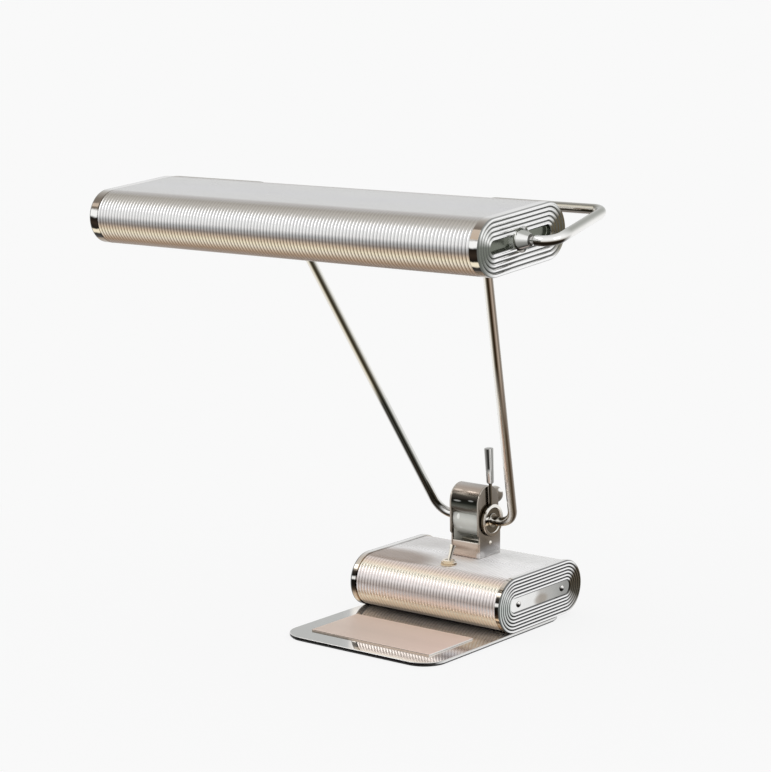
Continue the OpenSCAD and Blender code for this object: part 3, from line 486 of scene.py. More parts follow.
def bracket_metal():
    """Side plates painted brown-grey as reflections, paler towards the foot and the front; a front painted
    tan as a reflection; the inside painted pale as light into the shade round the barrel; a painted highlight
    low at the front.
    """
    sh = Shader("bracket_metal")
    height, back = sh.place("Z", 56, 128), sh.place("Y", -1, 12)
    side = sh.ramp(height, [(0.0, (226, 225, 224)), (0.05, (196, 194, 193)), (0.11, (166, 163, 162)),
                            (0.17, (126, 118, 110)), (0.24, (112, 102, 90)), (0.55, (106, 95, 82)),
                            (0.85, (112, 104, 94)), (1.0, (128, 121, 112))])
    left = sh.ramp(back, [(0.0, (160, 152, 144)), (0.35, (136, 129, 120)), (1.0, (108, 100, 90))])
    side = sh.mix(sh.ramp(back, [(0.0, (150, 150, 150)), (1.0, (0, 0, 0))]), side, left)
    front = sh.ramp(height, [(0.0, (186, 162, 146)), (0.03, (206, 186, 170)), (0.12, (198, 180, 165)),
                             (0.19, (190, 172, 158)), (0.205, (214, 206, 196)), (0.3, (150, 141, 131)),
                             (1.0, (172, 165, 156))])
    colour = sh.mix(sh.over(sh.sideways(), 0.3), front, side)
    # The inner faces behind the front wall are painted pale and less metallic, as light into the shade round
    # the barrel
    inside = sh.under(sh.from_middle(), (INNER_X + 0.15) * MM)
    hidden = sh.math("MULTIPLY", inside, sh.over(sh.part("Y"), (BRACKET_Y + 1.8) * MM))
    colour = sh.worn(sh.mix(hidden, colour, (214, 213, 205)))
    # Painted highlight low on the right plate's front edge
    colour = sh.painted_reflection(colour, (17.2, 2, 58), (6, 7, 6), (232, 231, 230), 0.8)
    share = sh.math("MULTIPLY_ADD", hidden, -0.9, 1.0)
    return sh.finish(colour, share, sh.spread(sh.noise(90.0), 0.12, 0.24))


def collar_metal():
    """A rim with a painted highlight on its upper part, round a dished face painted dark brown as a
    reflection, with the tube's painted reflection as three soft bars.
    """
    sh = Shader("collar_metal")
    depth = sh.place("X", 17.5, 22.4)
    out = sh.ramp(depth, [(0.0, (150, 142, 130)), (0.3, (90, 82, 72)), (0.62, (84, 76, 64)),
                          (0.78, (104, 96, 84)), (0.87, (112, 102, 88)), (1.0, (200, 194, 184))])
    rim = sh.ramp(sh.section_turn(), by_turn([
        (-120, (90, 82, 72)), (-70, (120, 110, 98)), (-30, (210, 196, 180)), (0, (170, 160, 148)),
        (40, (224, 221, 214)), (80, (240, 238, 232)), (120, (190, 186, 176))]))
    rim = sh.mix(sh.over(depth, 0.7), (90, 81, 67), rim)
    lip = sh.mix(sh.place("Z", 90, 103), (112, 100, 86), (240, 237, 230))
    out = sh.mix(sh.over(depth, 0.88), out, lip)
    flat = sh.over(sh.facing("X"), 0.95)
    colour = sh.mix(flat, rim, out)
    colour = sh.mix(sh.math("MULTIPLY", flat, sh.under(depth, 0.8)), colour, (78, 68, 54))
    # Painted reflection of the tube: light, dark and cream bars across the dish
    for height, tone in ((95.4, (250, 248, 244)), (92.6, (44, 38, 32)), (89.8, (222, 204, 178))):
        colour = sh.painted_reflection(colour, (22, 7.5, height), (8, 8.5, 1.7), tone, 0.9)
    return sh.polished(colour, (0.08, 0.16), 0.06, 120.0)


def lever_metal():
    """Polished rod with painted reflections: a black streak left of its middle above, paler below, a dark
    shank.
    """
    sh = Shader("lever_metal")
    around = sh.attr("around")
    greys = lambda stops: [(pos, (v, v - 1, v - 4)) for pos, v in stops]
    high = sh.ramp(around, greys([(0.0, 190), (0.354, 204), (0.457, 150), (0.502, 100), (0.539, 60),
                                  (0.575, 30), (0.59, 60), (0.606, 150), (0.636, 252), (0.67, 190),
                                  (0.707, 108), (0.752, 182), (0.854, 232), (1.0, 190)]))
    low = sh.ramp(around, greys([(0.0, 190), (0.354, 242), (0.44, 170), (0.49, 118), (0.53, 200), (0.59, 232),
                                 (0.64, 212), (0.69, 131), (0.752, 166), (0.854, 214), (1.0, 190)]))
    shank = sh.ramp(around, [(0.354, (120, 112, 100)), (0.5, (42, 36, 28)), (0.6, (52, 46, 36)),
                             (0.68, (120, 110, 96)), (0.8, (90, 82, 70))])
    colour = sh.mix(sh.place("Z", 140.9, 144.9), low, high)
    colour = sh.mix(sh.under(sh.part("Z"), 129.5 * MM), colour, shank)
    colour = sh.mix(sh.over(sh.facing("Z"), 0.9), colour, (150, 149, 146))
    return sh.polished(colour, (0.06, 0.14), 0.04)


def bat_metal():
    """Bat with painted reflections: cream, a dark line down each side, and a pale top."""
    sh = Shader("bat_metal")
    colour = sh.ramp(sh.facing("X"), [(0.0, (66, 58, 50)), (0.1, (84, 76, 66)), (0.2, (238, 230, 214)),
                                      (0.55, (244, 238, 226)), (0.7, (232, 222, 204)), (0.78, (60, 52, 44)),
                                      (0.9, (70, 62, 52)), (1.0, (206, 200, 192))])
    colour = sh.mix(sh.over(sh.facing("Z"), 0.86), colour, (240, 232, 218))
    return sh.polished(colour, (0.08, 0.16), 0.05, 120.0)


def cone_metal():
    """Ferrule with painted reflections round its section, a grey mouth, and its neck painted dark as shade.
    """
    sh = Shader("cone_metal")
    along = sh.from_middle()
    body = sh.ramp(sh.section_turn(), by_turn(CONE_TONES))
    colour = sh.mix(sh.under(along, (CONE_X + 1.5) * MM), body, (112, 113, 109))
    neck = sh.math("MULTIPLY", sh.over(along, (NECK_X - 0.5) * MM), 0.8)
    return sh.polished(sh.mix(neck, colour, (58, 56, 50)), (0.08, 0.16), 0.04)


def stud_metal():
    """Neck of the pivot: painted shade as a dark ring against the ferrule and against the tube, and between
    them a band with painted reflections.
    """
    sh = Shader("stud_metal")
    light = sh.curve(sh.from_middle(), [(0.0, 0.0), ((NECK_X + 1.2) * MM, 0.0), ((NECK_X + 1.8) * MM, 1.0),
                                        ((TUBE_END_X - 1.0) * MM, 1.0), ((TUBE_END_X - 0.4) * MM, 0.0)])
    body = sh.ramp(sh.section_turn(), by_turn([(-120, (70, 66, 60)), (-50, (120, 116, 110)),
                                               (10, (246, 245, 242)), (60, (216, 214, 210)),
                                               (125, (170, 168, 162))]))
    return sh.polished(sh.mix(light, (62, 60, 55), body), (0.1, 0.2))


def seat_metal():
    """White wall of the cup round the ferrule, and a floor that is darker towards the front."""
    sh = Shader("seat_metal")
    floor = sh.ramp(sh.place("Y", -240, -212), [(0.0, (84, 86, 76)), (0.4, (120, 122, 112)),
                                                (0.7, (142, 144, 134)), (1.0, (168, 170, 164))])
    colour = sh.mix(sh.under(sh.sideways(), 0.3), floor, (253, 253, 252))
    return sh.polished(colour, (0.12, 0.22), 0.04, 60.0, 90.0, 0.75)


def knob_metal():
    """Dome painted dark brown as a reflection, paler as it faces up, with a painted highlight on its upper
    right.
    """
    sh = Shader("knob_metal")
    colour = sh.ramp(sh.facing("Z"), [(0.0, (78, 70, 60)), (0.4, (100, 92, 82)), (0.6, (116, 108, 98)),
                                      (0.8, (124, 116, 106)), (0.92, (150, 144, 136)),
                                      (1.0, (190, 186, 178))])
    colour = sh.painted_reflection(colour, (6.8, 50, 115), (3.2, 6, 3.0), (252, 251, 249))
    return sh.polished(colour, (0.08, 0.16))


def plate_metal():
    """Mirror plate with painted reflections: grey at the left where it shows the room, bright under the
    housing, darker behind the pad and at the right; its front edge painted dark as shade under a pale bevel.
    """
    sh = Shader("plate_mirror")
    slant = sh.math("MULTIPLY_ADD", sh.part("Y"), 0.77, sh.part("X"))
    from_left = sh.math("MULTIPLY_ADD", slant, 1000 / 24.0, 151 / 24.0)
    top = sh.ramp(from_left, [(0.0, (166, 167, 164)), (0.3, (176, 176, 174)), (0.6, (240, 234, 226)),
                              (1.0, (246, 240, 232))])
    # Painted reflections: darker behind the pad, bluish grey at the right
    top = sh.painted_reflection(top, (4, -62, 4), (110, 18, 6), (142, 145, 150), 0.6)
    top = sh.painted_reflection(top, (88, -118, 4), (24, 56, 6), (150, 156, 168), 0.6)
    # Edges: the front and the lower rim painted dark as shade, the right painted bright and the upper bevel
    # pale, as highlights
    edge = sh.ramp(sh.facing("X"), [(0.0, (120, 120, 118)), (0.12, (150, 150, 148)), (0.2, (12, 11, 10)),
                                    (0.8, (14, 12, 11)), (0.93, (60, 58, 56)), (1.0, (232, 232, 231))])
    edge = sh.mix(sh.under(sh.part("Z"), 1.9 * MM), edge, (30, 28, 27))
    upward = sh.facing("Z")
    colour = sh.mix(sh.over(upward, 0.7), edge, (222, 220, 217))
    colour = sh.mix(sh.over(upward, 0.995), colour, top)
    return sh.polished(colour, (0.015, 0.04), 0.03, 20.0, 60.0, 0.86)


def pad_metal():
    """Flat tan satin top with a fine brushed grain, paler towards the rear as painted light; edges painted as
    light and shade: dark at the front, white at the right, pale at the back and round the rim.
    """
    sh = Shader("pad_satin")
    top = sh.ramp(sh.place("X", -70, 70), [(0.0, (204, 186, 173)), (0.5, (212, 191, 177)),
                                           (1.0, (224, 199, 186))])
    # Painted light: paler towards the rear, next to the housing
    top = sh.mix(sh.math("MULTIPLY", sh.place("Y", -125, -85), 0.6), top, (240, 217, 203))
    top = sh.worn(top, 0.03, 30.0, (1, 10, 1))
    across, upward = sh.facing("X"), sh.facing("Z")
    # Edges: the front painted dark as shade over a paler lower strip, the right painted white as a highlight
    side = sh.ramp(across, [(0.0, (168, 164, 158)), (0.2, (92, 78, 72)), (0.8, (92, 78, 72)),
                            (0.9, (246, 245, 243))])
    low = sh.math("MULTIPLY", sh.under(sh.part("Z"), 4.9 * MM), sh.under(across, 0.8))
    side = sh.mix(low, side, (206, 190, 176))
    side = sh.mix(sh.over(sh.facing("Y"), 0.6), side, (230, 220, 210))
    colour = sh.mix(sh.over(upward, 0.72), side, (240, 222, 210))
    colour = sh.mix(sh.over(upward, 0.98), colour, top)
    sh.bump(sh.noise(700.0, 2.0, (1, 12, 1)), 0.06)
    return sh.finish(colour, 0.22, sh.spread(sh.noise(90.0, 3.0, (1, 6, 1)), 0.4, 0.5))


# Mesh tools

@contextlib.contextmanager
def opened(mesh):
    """The mesh as a bmesh to work on, written back afterwards."""
    work = bmesh.new()
    work.from_mesh(mesh)
    yield work
    work.to_mesh(mesh)
    work.free()


def smooth(mesh, sharp=35):
    """Smooth shading, with edges sharp past an angle in degrees."""
    mesh.shade_smooth()
    mesh.set_sharp_from_angle(angle=math.radians(sharp))


def piece(name, verts, faces, home, mat, attrs=None, sharp=35, which=None):
    """A mesh piece from points in millimetres. home is its body, the node it replaces and a slot that is not
    used.
    mat is a material, or a list of them that which picks from, face by face."""
    me = bpy.data.meshes.new(name)
    me.from_pydata([tuple(c * MM for c in v) for v in verts], [], faces)
    for key, values in (attrs or {}).items():
        me.attributes.new(key, "FLOAT", "POINT").data.foreach_set("value", values)
    for m in mat if which else [mat]:
        me.materials.append(m)
    if which:
        me.polygons.foreach_set("material_index", which)
    me.update()
    with opened(me) as work:
        bmesh.ops.recalc_face_normals(work, faces=work.faces)
    smooth(me, sharp)
    ob = bpy.data.objects.new(name, me)
    bpy.context.scene.collection.objects.link(ob)
    body, node, slot = home
    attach(ob, body)
    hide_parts(node)
    return ob


def arc_points(centre, r, a0, a1, steps=28):
    """Points on an arc about a centre, from angle a0 to a1 in degrees."""
    turns = [math.radians(a0 + (a1 - a0) * k / steps) for k in range(steps + 1)]
    return [(centre[0] + r * math.cos(a), centre[1] + r * math.sin(a)) for a in turns]


def ring_faces(rings, n):
    """Faces over both ends of a stack of rings of n points each, and between the rings."""
    ends = [list(range(n))[::-1], list(range((rings - 1) * n, rings * n))]
    return ends + [[i * n + k, i * n + (k + 1) % n, (i + 1) * n + (k + 1) % n, (i + 1) * n + k]
                   for i in range(rings - 1) for k in range(n)]


def aspects(verts, centres):
    """For points round centres: rise of the facing, 0 down to 1 up, and its compass turn, 0.5 forward."""
    rise, around = [], []
    for v, c in zip(verts, centres):
        d = (v - c).normalized() if (v - c).length > 1e-9 else Vector((0, 0, 1))
        rise.append(0.5 + 0.5 * d.z)
        around.append((math.degrees(math.atan2(d.x, -d.y)) / 360 + 0.5) % 1.0)
    return {"rise": rise, "around": around}


def lathe(name, profile, at, home, mat, sides=40, sharp=35):
    """A turned piece: profile is a list of (x along the axis, radius), at places it. Closed at both ends."""
    verts, centres, rings, faces = [], [], [], []
    for x, r in profile:
        row = []
        for k in range(1 if r < 1e-6 else sides):
            a = 2 * math.pi * k / sides
            row.append(len(verts))
            verts.append(at @ Vector((x, r * math.cos(a), r * math.sin(a))))
            centres.append(at @ Vector((x, 0, 0)))
        rings.append(row)
    for a, b in zip(rings, rings[1:]):
        for k in range(sides):
            l = (k + 1) % sides
            face = list(dict.fromkeys([a[k % len(a)], a[l % len(a)], b[l % len(b)], b[k % len(b)]]))
            if len(face) > 2:
                faces.append(face)
    faces += [row for row in (rings[0][::-1], rings[-1]) if len(row) > 1]
    return piece(name, verts, faces, home, mat, aspects(verts, centres), sharp)


def side_turn(hand):
    """Takes a turned piece drawn to the right over to either side."""
    return Matrix.Identity(4) if hand > 0 else Matrix.Rotation(math.pi, 4, "Z")


def soften(ob, width, segments=3):
    """Rounds the edges of a piece."""
    with opened(ob.data) as work:
        edges = [e for e in work.edges if len(e.link_faces) == 2 and e.calc_face_angle(0) > math.radians(30)]
        bmesh.ops.bevel(work, geom=edges, offset=width * MM, segments=segments, profile=0.5, affect="EDGES",
                        clamp_overlap=True)
    smooth(ob.data)


def extruded(name, outline, x0, x1, home, mat, bevel):
    """A plate cut to an outline of (y, z) points, from x0 to x1, with its edges rounded over."""
    verts = [(x, y, z) for x in (x0, x1) for y, z in outline]
    soften(piece(name, verts, ring_faces(2, len(outline)), home, mat), bevel)


def rounded(width, low, high, r, steps=16):
    """Outline (x, y) of a rectangle across X from low to high along Y, with corners of radius r."""
    corners = ((width / 2 - r, low + r, -90), (width / 2 - r, high - r, 0),
               (r - width / 2, high - r, 90), (r - width / 2, low + r, 180))
    return [point for x, y, start in corners for point in arc_points((x, y), r, start, start + 90, steps)]


def slab(name, width, low, high, corner, z0, z1, home, mat, bevel, shift=0.0):
    """A flat lying plate with round corners and edges. A ring inside each edge keeps its faces flat."""
    turns = [math.radians(30 * k) for k in range(4)]
    under = [(bevel * (1 - math.sin(a)), z0 + bevel * (1 - math.cos(a))) for a in turns]
    over = [(inset, z0 + z1 - z) for inset, z in reversed(under)]
    rings = [(bevel + 0.3, z0), *under, *over, (bevel + 0.3, z1)]
    verts = []
    for inset, z in rings:
        outline = rounded(width - 2 * inset, low + inset, high - inset, max(corner - inset, 0.05))
        verts += [(x + shift, y, z) for x, y in outline]
    piece(name, verts, ring_faces(len(rings), len(outline)), home, mat)


# Ribbed shells and end caps

def stadium_loop(span, arc, cuts=(), seat=None):
    """Points round a stadium from the middle of the top, over the front, under and back.
    Each is (spine y, normal y, normal z, turn). With seat, the flats' first step from the middle
    is that long, so that a round hole fits between the steps."""
    half = span / 2
    if seat is None:
        top = [half * k / 4 for k in range(4)]
        under = sorted({*[-half + span * k / 8 for k in range(1, 8)], *cuts})
    else:
        top = [0.0] + [seat + (half - seat) * k / 4 for k in range(4)]
        under = [-y for y in reversed(top)] + top[1:]
    loop = [(-y, 0.0, 1.0, 90 + FLAT_TURN * (1 - y / half)) for y in top]
    for end, start, way in ((-half, 90, -1), (half, -90, 1)):
        for k in range(arc + 1):
            t = start + way * 180 * k / arc
            a = math.radians(t)
            loop.append((end, way * math.cos(a), math.sin(a), t))
        if way < 0:
            loop += [(y, 0.0, -1.0, -90 - FLAT_TURN * (1 - abs(y) / half)) for y in under]
    loop += [(y, 0.0, 1.0, 90 + FLAT_TURN * (1 - y / half)) for y in reversed(top[1:])]
    return loop


def rib_profile(ribs, r):
    """(radius, x, crest) along a ribbed shell: rounded crests between sharp grooves."""
    out = []
    for i in range(ribs):
        for k in range(RIB_STEPS):
            p = k / RIB_STEPS
            h = math.sin(math.pi * p) ** 0.75 if p else 0.0
            out.append((r - RIB_DEPTH * (1 - h), (i - ribs / 2 + p) * RIB_PITCH, h))
    out.append((r - RIB_DEPTH, ribs / 2 * RIB_PITCH, 0.0))
    return out


def ribbed_shell(name, part, at, home, mat, mouth=None):
    """A hollow ribbed shell. mouth is (half length, half width) of the opening underneath."""
    loop = stadium_loop(part["span"], SHELL_STEPS, (-mouth[1], mouth[1]) if mouth else ())
    profile = rib_profile(part["ribs"], part["r"])
    inner = part["r"] - RIB_DEPTH - SHELL_WALL
    n, m = len(loop), len(profile)
    verts, turn, crest = [], [], []
    for skin in (0, 1):
        for r, x, h in profile:
            d = inner if skin else r
            for y, ny, nz, t in loop:
                verts.append(at @ Vector((x, y + d * ny, d * nz)))
                turn.append(turn_pos(t))
                crest.append(0.0 if skin else h)

    def kept(i, j):
        x = (profile[i][1] + profile[i + 1][1]) / 2
        a, b = loop[j], loop[(j + 1) % n]
        y = (a[0] + b[0]) / 2
        return not (mouth and a[2] == b[2] == -1.0 and abs(x) < mouth[0] and abs(y) < mouth[1])

    keep = {(i, j) for i in range(m - 1) for j in range(n) if kept(i, j)}
    base = m * n
    at_grid = lambda i, j: i * n + j % n
    faces = []
    for i, j in sorted(keep):
        q = [at_grid(i, j), at_grid(i + 1, j), at_grid(i + 1, j + 1), at_grid(i, j + 1)]
        faces.append(q)
        faces.append([base + v for v in reversed(q)])
        for di, dj, a, b in ((-1, 0, 0, 3), (1, 0, 2, 1), (0, -1, 1, 0), (0, 1, 3, 2)):
            if (i + di, (j + dj) % n) not in keep:
                faces.append([q[a], q[b], base + q[b], base + q[a]])
    used = sorted({v for f in faces for v in f})
    index = {v: k for k, v in enumerate(used)}
    attrs = {"turn": [turn[v] for v in used], "crest": [crest[v] for v in used]}
    piece(name, [verts[v] for v in used], [[index[v] for v in f] for f in faces], home, mat, attrs, 50)


def cap_profile(part):
    """(distance, x, crest, kind) of an end cap's closed section, kinds: 0 rings, 1 band, 2 flat, 3 hidden."""
    band, r, r_in, dish, floor = part["band"], part["cap_r"], part["flat_r"], part["dish"], part["floor"]
    groove = band - RIDGE_H
    back = groove - CAP_WALL
    spigot = part["r"] - RIB_DEPTH - SHELL_WALL - 0.05
    pts = [(0, floor - CAP_WALL, 0, 3), (r_in + CAP_WALL, floor - CAP_WALL, 0, 3),
           (r_in + CAP_WALL, back - dish, 0, 3), (r - CAP_WALL, back, 0, 3), (r - CAP_WALL, CAP_WALL, 0, 3),
           (spigot - CAP_WALL, CAP_WALL, 0, 3), (spigot - CAP_WALL, -SPIGOT, 0, 3), (spigot, -SPIGOT, 0, 3),
           (spigot, 0.02, 0, 3), (r - 0.3, 0.02, 0, 1), (r, 0.3, 0, 1), (r, groove * 0.5, 0, 1),
           (r, groove - 0.6, 0, 1), (r, groove, 0, 0)]
    step = (r - r_in) / part["rings"]
    ways = {k / RING_STEPS for k in range(1, part["rings"] * RING_STEPS)}
    ways |= {(r - part["seat"] * cut) / step for cut in (1.0, 0.985, 0.95, 0.88) if part["seat"]}
    for way in sorted(ways):
        h = math.sin(math.pi * (way % 1.0))
        pts.append((r - way * step, groove - dish * way / part["rings"] + RIDGE_H * h ** 0.85, h ** 0.7, 0))
    edge = groove - dish
    pts.append((r_in, edge, 0, 0))
    if abs(floor - edge) > 0.01:
        pts += [(r_in, edge - 0.4, 0, 2), (r_in, floor + 0.4, 0, 2), (r_in - 0.4, floor, 0, 2)]
    return pts + [(r_in - 0.45, floor, 0, 2), (0, floor, 0, 2)]


def end_cap(name, part, hand, at, home, mats):
    """A ringed end cap, with a round seat cut through its rings where part asks for one."""
    half = part["ribs"] * RIB_PITCH / 2
    profile = cap_profile(part)
    reach = part["seat"]
    verts, turn, crest, gaps = [], [], [], []
    for d, x, h, kind in profile:
        wide = math.sqrt(max(0.0, reach ** 2 - d ** 2)) if kind in (0, 2) else 0.0
        gaps.append(wide)
        loop = stadium_loop(part["span"], CAP_STEPS, (), wide if reach else None)
        for y, ny, nz, t in loop:
            verts.append(at @ Vector((hand * (half + x), y + d * ny, d * nz)))
            turn.append(turn_pos(t))
            crest.append(h)
    n = len(loop)
    middle = {j for j in range(n) if loop[j][0] == 0.0} if reach else set()
    faces, which = [], []
    for i in range(len(profile) - 1):
        here, there = profile[i][3], profile[i + 1][3]
        kind = 1 if 3 in (here, there) else min(here, there)
        for j in range(n):
            k = (j + 1) % n
            if gaps[i] + gaps[i + 1] > 0.0 and (j in middle or k in middle):
                continue
            faces.append([i * n + j, i * n + k, (i + 1) * n + k, (i + 1) * n + j])
            which.append(kind)
    ob = piece(name, verts, faces, home, mats, {"turn": turn, "crest": crest}, 40, which)
    with opened(ob.data) as work:
        bmesh.ops.remove_doubles(work, verts=work.verts, dist=1e-6)
        bmesh.ops.dissolve_degenerate(work, edges=work.edges, dist=1e-7)
        bmesh.ops.recalc_face_normals(work, faces=work.faces)
    smooth(ob.data, 40)


def shell_pieces():
    ribbed_shell("shade_ribbed", SHADE, AT_SHADE, ("shade", "shade_shell", "ribbed_aluminium"),
                 ribbed_metal("shade_ribs", SHADE_TONES),
                 (SHADE["ribs"] * RIB_PITCH / 2 - MOUTH_MARGIN, MOUTH_W / 2))
    ribbed_shell("housing_ribbed", HOUSING, AT_HOUSING, ("base", "housing_shell", "ribbed_aluminium"),
                 ribbed_metal("housing_ribs", HOUSING_TONES, HOUSING_METALLIC, HOUSING_PAINTED_REFLECTIONS))
    # Cap grooves painted dark as shade; the shade's slot floor painted dark grey-green as shade in its recess
    shade_looks = [
        cap_metal("shade_rings", (92, 94, 90), SHADE_NOSES, (232, 233, 231), (254, 254, 254),
                  [(0.0, 0.0), (0.55, 0.1), (0.78, 0.8), (0.88, 1.0)], AXIS.y),
        band_metal("shade_band", SHADE_BAND),
        plain("slot_floor", (112, 116, 106), 1.0, (0.12, 0.24), 0.25, 40.0, 0.02)]
    housing_looks = [
        cap_metal("housing_rings", (18, 17, 16), HOUSING_NOSES, (236, 236, 235), (253, 253, 253),
                  [(0.0, 0.0), (0.6, 0.0), (0.79, 0.4), (0.92, 1.0)], 0.0),
        band_metal("housing_band", HOUSING_BAND),
        panel_metal()]
    for hand, side in SIDES:
        for body, form, part, at, looks in (("shade", "shade", SHADE, AT_SHADE, shade_looks),
                                            ("base", "housing", HOUSING, AT_HOUSING, housing_looks)):
            node = f"{form}_cap_{side}"
            end_cap(f"{node}_rings", part, hand, at, (body, node, "cap_chrome"), looks)


# Yoke

def tube_path(foot):
    """Centre points of one half of the yoke tube, drawn to the right, as its bender makes it."""
    splay = math.atan((ARM_TOP - foot) / ARM_LEN)
    turn = math.pi / 2 - splay
    foot_cut = ELBOW_R * math.tan(turn / 2)
    top_cut = SHOULDER_R * math.tan(turn / 2)
    at = AT_PIVOT @ Matrix.Rotation(ARM_LEAN, 4, "X") @ Matrix.Translation((BARREL_GAP, 0, 0))
    pts = [at @ Vector((0, 0, 0))]

    def run(length):
        nonlocal at
        pts.extend(at @ Vector((length * k / 4, 0, 0)) for k in range(1, 5))
        at = at @ Matrix.Translation((length, 0, 0))

    def bend(r, angle, way=1):
        nonlocal at
        turned = [angle * k / 16 for k in range(1, 17)]
        ways = [Vector((r * math.sin(a), 0, way * r * (1 - math.cos(a)))) for a in turned]
        pts.extend(at @ v for v in ways)
        at = at @ Matrix.Translation(ways[-1]) @ Matrix.Rotation(-way * angle, 4, "Y")

    run(foot - foot_cut - BARREL_GAP)
    bend(ELBOW_R, turn)
    run(ARM_LEN / math.cos(splay) - foot_cut - top_cut)
    bend(SHOULDER_R, turn, -1)
    run(HOOK_X - ARM_TOP - HOOK_R - top_cut)
    at = at @ Matrix.Rotation(math.pi / 2 + HOOK_RISE - ARM_LEAN, 4, "X")
    bend(HOOK_R, math.pi / 2)
    run(HOOK_BACK - 2 * HOOK_R)
    bend(HOOK_R, math.pi / 2)
    run(HOOK_X - HOOK_R - TUBE_END_X)
    return pts


def tube(name, pts, hand, home, mat, sides=24):
    """A round tube along points, with the attributes that its painted reflection streaks follow: rise, around
    and how steep it runs.
    """
    pts = [Vector((hand * p.x, p.y, p.z)) for p in pts]
    verts, centres, steep = [], [], []
    up = Vector((0, -1, 0.3))
    for i, p in enumerate(pts):
        ahead = (pts[min(i + 1, len(pts) - 1)] - pts[max(i - 1, 0)]).normalized()
        up = (up - ahead * up.dot(ahead)).normalized()
        other = ahead.cross(up)
        for k in range(sides):
            a = 2 * math.pi * k / sides
            verts.append(p + TUBE_R * (up * math.cos(a) + other * math.sin(a)))
            centres.append(p)
            steep.append(min(1.0, max(0.0, (abs(ahead.z) - 0.35) / 0.35)))
    attrs = {**aspects(verts, centres), "steep": steep}
    piece(name, verts, ring_faces(len(pts), sides), home, mat, attrs)


def tube_pieces():
    for (hand, side), low, high, change in zip(SIDES, (LEFT_LOW, RIGHT_LOW), (LEFT_HIGH, RIGHT_HIGH),
                                               ((206, 228), (190, 262))):
        look = tube_metal(f"tube_chrome_{side}", low, high, change)
        tube(f"yoke_{side}", tube_path(ARM_FOOT + hand * FOOT_SHIFT), hand,
             ("yoke", f"yoke_tube_{side}", "tube_chrome"), look)


def cone_pieces():
    """The cone ferrules, and the round cups in the shade's caps that they sit in."""
    metal, seat_look = cone_metal(), seat_metal()
    cone = [(0, 3.7), (0, CONE_R - 0.4), (0.3, CONE_R), (1.1, CONE_R), (1.4, CONE_R - 0.25),
            (1.42, CONE_R - 0.6), (13.2, NECK_R + 0.15), (13.5, NECK_R - 0.1), (13.55, STUD_R + 0.2),
            (NECK_X - CONE_X, STUD_R), (NECK_X - CONE_X, 3.5)]
    half, r = SHADE["ribs"] * RIB_PITCH / 2, SHADE["seat"]
    low, top = half + SHADE["floor"], half + SHADE["band"] - RIDGE_H - SHADE["dish"]
    seat = [(low - CAP_WALL, 0), (low - CAP_WALL, r + CAP_WALL), (top + 0.9, r + CAP_WALL + 0.2),
            (top + 1.3, r + 1.1), (top + 1.3, r + 0.2), (top + 1.1, r), (low + 0.3, r),
            (low + 0.02, r - 0.3), (low + 0.02, 0)]
    for hand, side in SIDES:
        at = AT_SHADE @ side_turn(hand)
        lathe(f"cone_{side}", [(CONE_X + x, radius) for x, radius in cone], at,
              ("yoke", f"cone_ferrule_{side}", "cap_chrome"), metal, 64)
        lathe(f"shade_cap_{side}_seat", seat, at, ("shade", f"shade_cap_{side}", "cap_chrome"), seat_look, 72)


# Base, hinge and switch

def base_pieces():
    slab("plate_mirror", PLATE_W, -PLATE_FRONT, PLATE_REAR, PLATE_CORNER, PLATE_TOP - PLATE_T, PLATE_TOP,
         ("base", "base_plate", "plate_chrome"), plate_metal(), PLATE_EDGE)
    front = PAD_MARGIN - PLATE_FRONT
    slab("pad_satin_plate", PAD_W, front, front + PAD_D, PAD_CORNER, PLATE_TOP, PLATE_TOP + PAD_T,
         ("base", "pad_plate", "pad_satin"), pad_metal(), PAD_EDGE, PAD_SHIFT)


def bracket_pieces():
    """Two lobed side plates, a foot, and a low wall in front and behind."""
    mat, home = bracket_metal(), ("base", "bracket", "bracket_metal")
    rear, foot = BRACKET_Y + BRACKET_D, HOUSING_TOP
    outline = [(BRACKET_Y, foot), (rear, foot), (rear, PIVOT.z - 7), (LOBE.y + LOBE_R, PIVOT.z + 6),
               *arc_points((LOBE.y, LOBE.z), LOBE_R, 0, 180), (BRACKET_Y - 2.5, PIVOT.z - 13),
               (BRACKET_Y, PIVOT.z - 15.5)]
    for x, side in ((-BRACKET_X, "left"), (INNER_X, "right")):
        extruded(f"bracket_plate_{side}", outline, x, x + BRACKET_T, home, mat, 0.45)
    for name, y0, y1, top, bevel in (("front", BRACKET_Y, BRACKET_Y + BRACKET_T, foot + WALL_H, 0.5),
                                     ("rear", rear - BRACKET_T, rear, foot + WALL_H + 8, 0.5),
                                     ("foot", BRACKET_Y + 0.2, rear - 0.2, foot + BRACKET_T, 0.2)):
        extruded(f"bracket_{name}", [(y0, foot), (y1, foot), (y1, top), (y0, top)], -INNER_X - 0.1,
                 INNER_X + 0.1, home, mat, bevel)


def shoe_piece():
    """The block between the side plates, round on top and hollowed over the barrel."""
    hollow = BARREL_R + 0.3
    between = (PIVOT.yz - LOBE.yz)
    span = between.length
    reach = (LOBE_R ** 2 - hollow ** 2 + span ** 2) / (2 * span)
    half = math.sqrt(LOBE_R ** 2 - reach ** 2)
    way = math.degrees(math.atan2(between.y, between.x))
    spread = math.degrees(math.atan2(half, reach))
    under = math.degrees(math.atan2(half, span - reach))
    outer = arc_points((LOBE.y, LOBE.z), LOBE_R, way + spread, way + 360 - spread, 56)
    hollowed = arc_points((PIVOT.y, PIVOT.z), hollow, way + 180 + under, way + 180 - under, 24)
    extruded("shoe_block", outer + hollowed[1:-1], -INNER_X + 0.02, INNER_X - 0.02,
             ("base", "brake_shoe", "shoe_satin"),
             section_metal("shoe_metal", SHOE_TONES, (0.16, 0.28), SHOE_PAINTED_HIGHLIGHTS, grain=0.12), 0.3)


